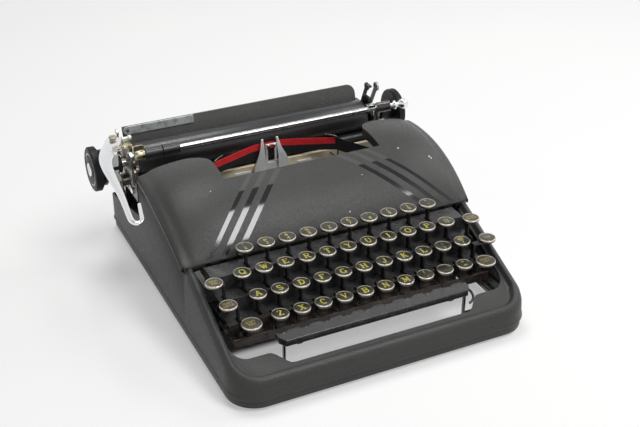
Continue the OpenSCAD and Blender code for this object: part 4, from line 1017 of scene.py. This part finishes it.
class TYPEWRITER_OT_keys(bpy.types.Operator):
    """Key tops with rings, domed discs and legends, over their levers"""

    bl_idname = "typewriter.keys"
    bl_label = "Keys"

    # Depth of a key's cup
    CUP = 3.2

    # Node, body, place of the first key and legends of each bank, then of each key on its own
    BANKS = (
        ("keys_numbers", "numbers_bank", -85.1, -63.7, 86.0,
         ('"\n2', "#\n3", "$\n4", "%\n5", "_\n6", "&\n7", "'\n8", "(\n9", ")\n0", "*\n-")),
        ("keys_upper", "upper_bank", -94.5, -80.8, 74.0, tuple("QWERTYUIOP") + ("1/4\n1/2",)),
        ("keys_home", "home_bank", -88.3, -97.9, 62.0, tuple("ASDFGHJKL") + (":\n;", "@\n/")),
        ("keys_lower", "lower_bank", -76.6, -115.0, 50.0, tuple("ZXCVBNM") + ("?\n,", ".", "+\n=")),
    )
    SINGLES = (
        ("margin_release_key", "margin_release", -120.5, -85.8, 74.0, "MAR\nREL"),
        ("shift_lock_key", "shift_lock", -115.5, -102.9, 62.0, "SHIFT\nLOCK"),
        ("shift_key_left", "left_shift", -102.7, -118.3, 50.0, "SHIFT\nKEY"),
        ("back_spacer_key", "back_spacer", 118.7, -84.8, 74.0, "BACK\nSPACE"),
        ("tabulator_key", "tabulator", 124.8, -102.9, 62.0, "TAB"),
        ("shift_key_right", "right_shift", 114.3, -118.3, 50.0, "SHIFT\nKEY"),
    )

    def execute(self, context):
        sizes = context.scene.typewriter_sizes
        for node, body, x0, y, z, legends in self.BANKS:
            places = [(x0 + KEY_PITCH * i, y, z, sizes.key_radius / MM) for i in range(len(legends))]
            self.group(node, body, places, legends, sizes)
        for node, body, x, y, z, legend in self.SINGLES:
            radius = sizes.shift_radius if node.startswith("shift_key") else sizes.key_radius
            self.group(node, body, [(x, y, z, radius / MM)], [legend], sizes)
        return {"FINISHED"}

    def group(self, node, body, places, legends, sizes):
        lone = len(places) == 1
        bm = bmesh.new()
        for x, y, z, r in places:
            # The cup below the ring takes the grey metal as painted shade on the ring's side.
            cup = [(0, -self.CUP), (r - 1.1, -self.CUP), (r - 0.4, -3.0), (r, -2.3), (r, -1.1)]
            lathe(bm, cup, (x, y, z), steps=40, material=2)
            ring = [(r, -1.1), (r - 0.15, -0.4), (r - 0.45, -0.1), (r - 0.75, -0.12), (r - 0.95, -0.45)]
            lathe(bm, ring, (x, y, z), steps=40)
            disc = [(r - 0.95, -0.45), (r - 1.7, -0.38), (r * 0.45, -0.22), (r * 0.2, -0.17), (0, -0.16)]
            lathe(bm, disc, (x, y, z), steps=40, material=1)
        tones = ["ring", "brown_disc" if lone else "disc", "edge"]
        piece("caps_" + node, bm, body, tones, sharp=50)
        under = places[0][2] - self.CUP
        bm = node_mesh(node)
        bmesh.ops.bisect_plane(bm, geom=bm.verts[:] + bm.edges[:] + bm.faces[:], clear_outer=True,
                               plane_co=(0, 0, (under - 0.01) * MM), plane_no=(0, 0, 1))
        bmesh.ops.holes_fill(bm, edges=[e for e in bm.edges if e.is_boundary])
        # Top faces of the bank levers take the grey metal as painted highlight.
        for f in bm.faces:
            f.material_index = 1 if f.normal.z > 0.8 and not lone else 0
        piece("levers_" + node, bm, body, ["lever", "edge"], [node], bevel=0.2, outward=False)
        bm = bmesh.new()
        for (x, y, z, r), legend in zip(places, legends):
            self.legend(bm, legend, x, y, z, r, sizes.legend / MM)
        piece("legends_" + node, bm, body, ["brown_legend" if lone else "legend"], outward=False)

    def legend(self, bm, text, x, y, z, r, height):
        """Printed letters laid on the dome of the disc."""
        lines = text.split("\n")
        if text in LETTERS:
            stencil(bm, text, Vector((x, y)), height, lambda px, py: self.dome(px - x, py - y, z, r))
            return
        short = max(len(line) for line in lines) == 1
        tall = height * (0.56 if short else 0.36)
        wide = (r - 1.6) * (1.15 if short else 1.62)
        for k, line in enumerate(lines):
            curve = bpy.data.curves.new("legend", "FONT")
            curve.body = line
            curve.size = tall / 0.72 * MM
            curve.offset = tall * 0.02 * MM
            curve.align_x, curve.align_y = "CENTER", "CENTER"
            curve.resolution_u = 3
            holder = bpy.data.objects.new("legend", curve)
            mesh = bpy.data.meshes.new_from_object(holder)
            span = max(v.co.x for v in mesh.vertices) - min(v.co.x for v in mesh.vertices)
            fit = min(1.0, wide * MM / span)
            drop = 0.0 if len(lines) == 1 else (0.5 - k) * tall * 1.32
            squeeze = Matrix.Diagonal((fit, 1.0, 1.0, 1.0))
            mesh.transform(Matrix.Translation(Vector((x, y + drop, z)) * MM) @ squeeze)
            for v in mesh.vertices:
                v.co.z = self.dome(v.co.x / MM - x, v.co.y / MM - y, z, r) * MM
            bm.from_mesh(mesh)
            bpy.data.objects.remove(holder)
            bpy.data.meshes.remove(mesh)
            bpy.data.curves.remove(curve)

    def dome(self, dx, dy, z, r):
        return z - 0.09 - 0.3 * (dx * dx + dy * dy) / (r - 1.0) ** 2


class TYPEWRITER_OT_keyboard(bpy.types.Operator):
    """Stepped key well, its brown front apron and the space bar"""

    bl_idname = "typewriter.keyboard"
    bl_label = "Key well and space bar"

    def execute(self, context):
        dress("key_well", "tread", 0.4, "brown", lambda c, n: c.y < -105.5)
        dress("space_bar", "bar", 0.9)
        dress("lever_comb", "lever", 0.2)
        bm = bmesh.new()
        hook = ((85.0, -133.5, 38.0), (88.5, -133.2, 36.0), (91.0, -135.0, 33.0), (90.6, -138.2, 30.6),
                (88.0, -140.6, 29.0), (85.2, -141.4, 28.0))
        tube(bm, flow(hook, 5), 1.1)
        piece("space_bar_hook", bm, "spacer", ["lever"], sharp=60)
        return {"FINISHED"}


class TYPEWRITER_OT_knobs(bpy.types.Operator):
    """Knurled platen knobs, platen and shaft"""

    bl_idname = "typewriter.knobs"
    bl_label = "Platen and knobs"

    def knob(self, name, face_x, side, hub):
        bm = bmesh.new()
        count = bpy.context.scene.typewriter_sizes.knurls
        axis = (side, 0, 0)
        centre = (face_x, *PLATEN)
        ring = bmesh.ops.create_circle(bm, cap_ends=False, segments=count * 2, radius=20.4 * MM)["verts"]
        bmesh.ops.rotate(bm, verts=ring, cent=(0, 0, 0), matrix=Matrix.Rotation(math.pi / 2, 3, "Y"))
        for i, v in enumerate(ring):
            v.co *= 1.0 if i % 2 else 0.984
            v.co += Vector((face_x - side * 1.2, *PLATEN)) * MM
        extrude(bm, bm.edges[:], (-side * 5.6, 0, 0))
        lathe(bm, [(19.9, -1.2), (19.2, -0.4), (18.0, 0.0), (15.2, 0.0), (14.8, -0.25)], centre, axis, 64)
        lathe(bm, [(14.8, -0.25), (13.9, -0.25)], centre, axis, 64, 1)
        lathe(bm, [(13.9, -0.25), (13.5, 0.0), (8.0, 0.25), (6.2, 0.3)], centre, axis, 64)
        lathe(bm, [(6.2, 0.3), (6.0, 0.8), (4.6, 1.0), (3.0, 1.0), (2.6, 0.6), (0.0, 0.6)], centre, axis, 32, 2)
        back = [(19.9, -6.8), (18.6, -8.0), (9.0, -8.0), (8.0, -9.0), (8.0, -hub + 0.6), (7.4, -hub), (4.2, -hub)]
        lathe(bm, back, centre, axis, 64)
        piece(name + "_dressed", bm, "platen", ["knob", "nickel", "chrome"], [name], 38)

    def execute(self, context):
        self.knob("knob_left", -166.0, -1, 28.5)
        self.knob("knob_right", 149.0, 1, 20.5)
        bm = bmesh.new()
        roller = [(4.0, 0.0), (14.5, 0.0), (15.7, 0.4), (16.0, 1.2)]
        lathe(bm, roller + [(r, 233.0 - h) for r, h in reversed(roller)], (-124.0, *PLATEN), (1, 0, 0), 64)
        piece("platen_dressed", bm, "platen", ["rubber"], ["platen_roller"], 40)
        dress_all((("platen_shaft", "nickel", "nickel", 0.3), ("ratchet_wheel", "steel", "steel", 0.15),
                   ("feed_roller_front feed_roller_rear", "rubber", "rubber", 0.3)))
        return {"FINISHED"}


class TYPEWRITER_OT_carriage(bpy.types.Operator):
    """Carriage bed, ends, levers, bail, paper table and supports"""

    bl_idname = "typewriter.carriage"
    bl_label = "Carriage"

    # Middle line and half width of the return lever's blade, from its pivot to the end of the hook
    LEVER = ((-141.2, 109.6, 1.6), (-141.8, 108.2, 5.0), (-143, 103, 7.0), (-148.6, 92, 7.2), (-154.5, 81, 7.0),
             (-159.5, 68, 5.8), (-162.6, 50, 4.8), (-164.2, 26, 3.8), (-165.9, 0, 2.9), (-168.6, -24, 2.5),
             (-170.4, -40, 2.4), (-169.4, -46.6, 2.2), (-166.2, -48.2, 2.0), (-162.6, -45, 1.8), (-160.7, -37, 1.7),
             (-159, -29, 1.6), (-157, -20, 1.5))

    def execute(self, context):
        dress_all((
            ("carriage_bed", "steel", "steel", 0.3), ("carriage_end_right", "dark", "nickel", 0.35),
            ("carriage_rack", "nickel", "nickel", 0.1), ("margin_rack", "steel", "steel", 0.3),
            ("carriage_screws", "chrome", "chrome", 0.3), ("bail_rollers", "rubber", "rubber", 0.5),
            ("paper_support", "worn", "steel", 0.3), ("paper_release_lever", "dark", "nickel", 0.4),
            ("carriage_release_lever", "steel", "nickel", 0.4), ("line_space_lever", "nickel", "nickel", 0.4),
            ("margin_stop_left margin_stop_right", "nickel", "nickel", 0.3),
            ("paper_table", "table_paint", "case_paint", 0.4)))
        # The left end plate's faces turned up, down or forward are straw-gold as painted highlight; the rest is
        # blackened steel.
        dress("carriage_end_left", "dark", 0.35, "gold", lambda c, n: abs(n.z) > 0.5 or n.y < -0.5)
        dress("paper_bail", "rod", 0.0, "brown", lambda c, n: 117.6 < c.x < 129.0)
        self.return_lever()
        self.left_fittings()
        self.bail_fittings()
        return {"FINISHED"}

    def return_lever(self):
        """Chromed blade with rolled edges, its hook, pivot boss and screws."""
        bm = bmesh.new()
        line = flow(self.LEVER)
        sections = []
        for i, p in enumerate(line):
            ahead = heading(line, i).to_2d().normalized()
            side = Vector((-ahead.y, ahead.x))
            row = []
            for k in range(16):
                a = 2 * math.pi * k / 16
                wide = math.copysign(abs(math.cos(a)) ** 0.8, math.cos(a)) * p.z
                tall = math.copysign(abs(math.sin(a)) ** 0.7, math.sin(a)) * min(1.55, p.z * 0.9)
                row.append((p.x + side.x * wide, p.y + side.y * wide, LEVER_Z + tall))
            sections.append(row)
        loft(bm, sections, close=True)
        bmesh.ops.holes_fill(bm, edges=[e for e in bm.edges if e.is_boundary])
        lathe(bm, [(3.3, -3.7), (5.6, -3.7), (6.0, -3.3), (6.0, -0.6), (3.3, -0.6)], (*LEVER_PIVOT, LEVER_Z))
        tongue = [(-146.5 + 5.4 * math.cos(a), 82.4 + 5.4 * math.sin(a))
                  for a in (math.radians(15 * i) for i in range(24))]
        plate(bm, "z", 119.0, tongue, 2.9)
        screw(bm, (-145.6, 82.0, 121.9), (0, 0, 1), 3.9, material=1)
        piece("return_lever_blade", bm, "return_arm", ["chrome", "nickel"], ["return_lever"], 45)

    def left_fittings(self):
        """Bracket plate, stud and screws on the carriage's left end, and the brown flange on the platen's hub."""
        bm = bmesh.new()
        bracket = ((-147.2, 113.2), (-141.0, 113.2), (-141.6, 92.0), (-143.2, 89.0), (-146.0, 89.6), (-147.2, 93.0))
        plate(bm, "y", 97.2, bracket, 1.4)
        stud = [(0, 0), (1.7, 0), (2.3, 0.5), (2.3, 1.8), (1.5, 2.2), (1.5, 6.0), (2.5, 6.4), (2.5, 8.6),
                (1.9, 9.2), (0, 9.2)]
        lathe(bm, stud, (-134.2, 107.6, 118.2), (1, 0, 0), 24)
        plate(bm, "x", -133.0, oblong(106.0, 109.2, 115.8, 119.2), 1.3)
        for y, z, r in ((118.0, 80.0, 2.6), (94.0, 80.0, 2.4), (104.0, 71.0, 2.4)):
            screw(bm, (-130.5, y, z), (-1, 0, 0), r, y, 1)
        screw(bm, (*LEVER_PIVOT, 123.3), (0, 0, 1), 3.6, 0.3, 1)
        guard = ((99.0, 67.0), (101.0, 65.6), (131.0, 65.6), (133.0, 67.0), (133.0, 78.0), (128.0, 84.0),
                 (101.5, 84.0), (99.0, 81.5))
        plate(bm, "x", -139.4, guard, 1.4, 2)
        for y, z in ((105.0, 75.0), (124.0, 72.0)):
            lathe(bm, [(0, 0), (2.6, 0), (2.6, 8.4), (0, 8.4)], (-138.6, y, z), (1, 0, 0), 24, 2)
            screw(bm, (-139.4, y, z), (-1, 0, 0), 2.8, z, 1)
        tones = ["silver", "nickel", "bronze"]
        piece("left_end_fittings", bm, "carriage", tones, sharp=40, bevel=0.25)
        bm = bmesh.new()
        flange = [(7.9, -1.6), (15.8, -1.6), (16.6, -1.0), (16.6, 1.0), (15.8, 1.6), (7.9, 1.6)]
        lathe(bm, flange, (-154.6, *PLATEN), (1, 0, 0), 48)
        piece("hub_flange", bm, "platen", ["brown"], sharp=40)

    def bail_fittings(self):
        """Clamp and tab at the bail rod's left end, the scale block and the ball at its right end."""
        bm = bmesh.new()
        clamp = [(2.6, 0), (4.6, 0), (5.0, 0.5), (5.0, 9.5), (4.6, 10.0), (2.6, 10.0)]
        lathe(bm, clamp, (-129.4, *BAIL_ROD), (1, 0, 0), 32, 1)
        tab = ((-129.0, 112.6), (-120.0, 112.6), (-119.4, 117.2), (-121.0, 118.4), (-127.6, 118.4), (-129.4, 117.2))
        plate(bm, "y", 87.4, tab, 1.8, 1)
        plate(bm, "z", 110.8, oblong(106.5, 114.5, 85.6, 91.0), 2.6)
        way = Vector((24.3, -9.0, 3.4)).normalized()
        ball = [(2.4, -9.6), (4.2, -9.4), (4.5, -8.4), (4.2, -7.4), (2.6, -7.0), (2.4, -5.4), (3.4, -4.0),
                (4.6, -2.4), (5.2, -0.3), (4.9, 1.8), (3.9, 3.5), (2.2, 4.7), (0, 5.2)]
        lathe(bm, ball, (141.8, 79.33, 112.16), way, 32)
        piece("bail_fittings", bm, "bail", ["chrome", "gold"], sharp=40, bevel=0.25)


class TYPEWRITER_OT_basket(bpy.types.Operator):
    """Type basket, guides, rails, ribbon and spools"""

    bl_idname = "typewriter.basket"
    bl_label = "Type basket and ribbon"

    # Path of the right-hand wire that turns the ribbon
    RIBBON_WIRE = ((62.5, 80.5, 75.5), (62.5, 70, 76.5), (63.0, 64.9, 79.5), (63.2, 64.3, 86.0), (63.0, 64.3, 96.0),
                   (61.5, 64.8, 99.2), (57.0, 66.8, 100.8), (52.0, 69.6, 101.2))

    def execute(self, context):
        dress_all((
            ("type_segment", "steel", "steel", 0.0), ("type_rest", "brass", "brass", 0.3),
            ("typebars", "steel", "steel", 0.0), ("strike_typebar", "steel", "chrome", 0.1),
            ("ribbon_vibrator", "silver", "steel", 0.25), ("spool_left spool_right", "nickel", "steel", 0.3),
            ("spool_cups", "enamel", "black_enamel", 0.3), ("basket_guides", "steel", "steel", 0.3),
            ("ribbon", "ribbon", "ribbon", 0.0)))
        dress("carriage_rails", "brass", 0.4, "steel", lambda c, n: c.y > 110.0)
        bm = node_mesh("type_guide")
        for v in bm.verts:
            v.co.y -= max(0.0, v.co.z - 0.086) * 0.18
        piece("type_guide_fingers", bm, NODES["type_guide"]["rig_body"], ["silver"], ["type_guide"],
              bevel=0.4, outward=False)
        bm = bmesh.new()
        for side in (-1, 1):
            tube(bm, flow([(side * x, y, z) for x, y, z in self.RIBBON_WIRE], 5), 0.75)
        piece("ribbon_wires", bm, "machine", ["dark"], sharp=60)
        bm = bmesh.new()
        for x0, x1 in ((-37.0, -21.5), (27.5, 42.0)):
            plate(bm, "y", 78.6, oblong(x0, x1, 66.0, 74.2), 1.1)
        piece("rail_plates", bm, "machine", ["silver"], bevel=0.3)
        bm = bmesh.new()
        for x in (-3.2, 3.2):
            foot = (x, 77.6, 94.6)
            lathe(bm, [(0, 0), (0.9, 0), (0.9, 2.4)], foot, steps=16)
            lathe(bm, [(0.9, 2.4), (1.15, 2.6), (1.2, 3.2), (0.8, 3.7), (0, 3.9)], foot, steps=16, material=1)
        body = NODES["ribbon_vibrator"]["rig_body"]
        piece("vibrator_prongs", bm, body, ["dark", "chrome"], sharp=50)
        return {"FINISHED"}


class TYPEWRITER_OT_chassis(bpy.types.Operator):
    """Frame, feet, bell, spring drum and the parts under the case"""

    bl_idname = "typewriter.chassis"
    bl_label = "Chassis"

    def execute(self, context):
        dress_all((
            ("frame", "enamel", "steel", 0.4), ("feet", "rubber", "rubber", 0.8),
            ("fulcrum_rod cover_brackets bell", "nickel", "nickel", 0.3),
            ("mainspring_drum", "nickel", "nickel", 0.4), ("escapement_pinion", "brass", "brass", 0.1)))
        return {"FINISHED"}


OPERATORS = (TYPEWRITER_OT_stage, TYPEWRITER_OT_case, TYPEWRITER_OT_cover, TYPEWRITER_OT_keyboard,
             TYPEWRITER_OT_keys, TYPEWRITER_OT_knobs, TYPEWRITER_OT_carriage, TYPEWRITER_OT_basket,
             TYPEWRITER_OT_chassis)


class TYPEWRITER_PT_sidebar(bpy.types.Panel):
    """Lists the pieces and their sizes and colours"""

    bl_idname = "TYPEWRITER_PT_sidebar"
    bl_label = "Typewriter"
    bl_space_type = "VIEW_3D"
    bl_region_type = "UI"
    bl_category = "Typewriter"

    def draw(self, context):
        for group in (context.scene.typewriter_sizes, context.scene.typewriter_colours):
            for name in group.__annotations__:
                self.layout.prop(group, name)
        for operator in OPERATORS:
            self.layout.operator(operator.bl_idname)


CLASSES = (TypewriterSizes, TypewriterColours) + OPERATORS + (TYPEWRITER_PT_sidebar,)


def register():
    for cls in CLASSES:
        bpy.utils.register_class(cls)
    bpy.types.Scene.typewriter_sizes = PointerProperty(type=TypewriterSizes)
    bpy.types.Scene.typewriter_colours = PointerProperty(type=TypewriterColours)


def unregister():
    del bpy.types.Scene.typewriter_sizes
    del bpy.types.Scene.typewriter_colours
    for cls in reversed(CLASSES):
        bpy.utils.unregister_class(cls)


def main():
    register()
    bpy.ops.typewriter.stage()
    bpy.ops.typewriter.case()
    bpy.ops.typewriter.cover()
    bpy.ops.typewriter.keyboard()
    bpy.ops.typewriter.keys()
    bpy.ops.typewriter.knobs()
    bpy.ops.typewriter.carriage()
    bpy.ops.typewriter.basket()
    bpy.ops.typewriter.chassis()


if __name__ == "__main__":
    main()
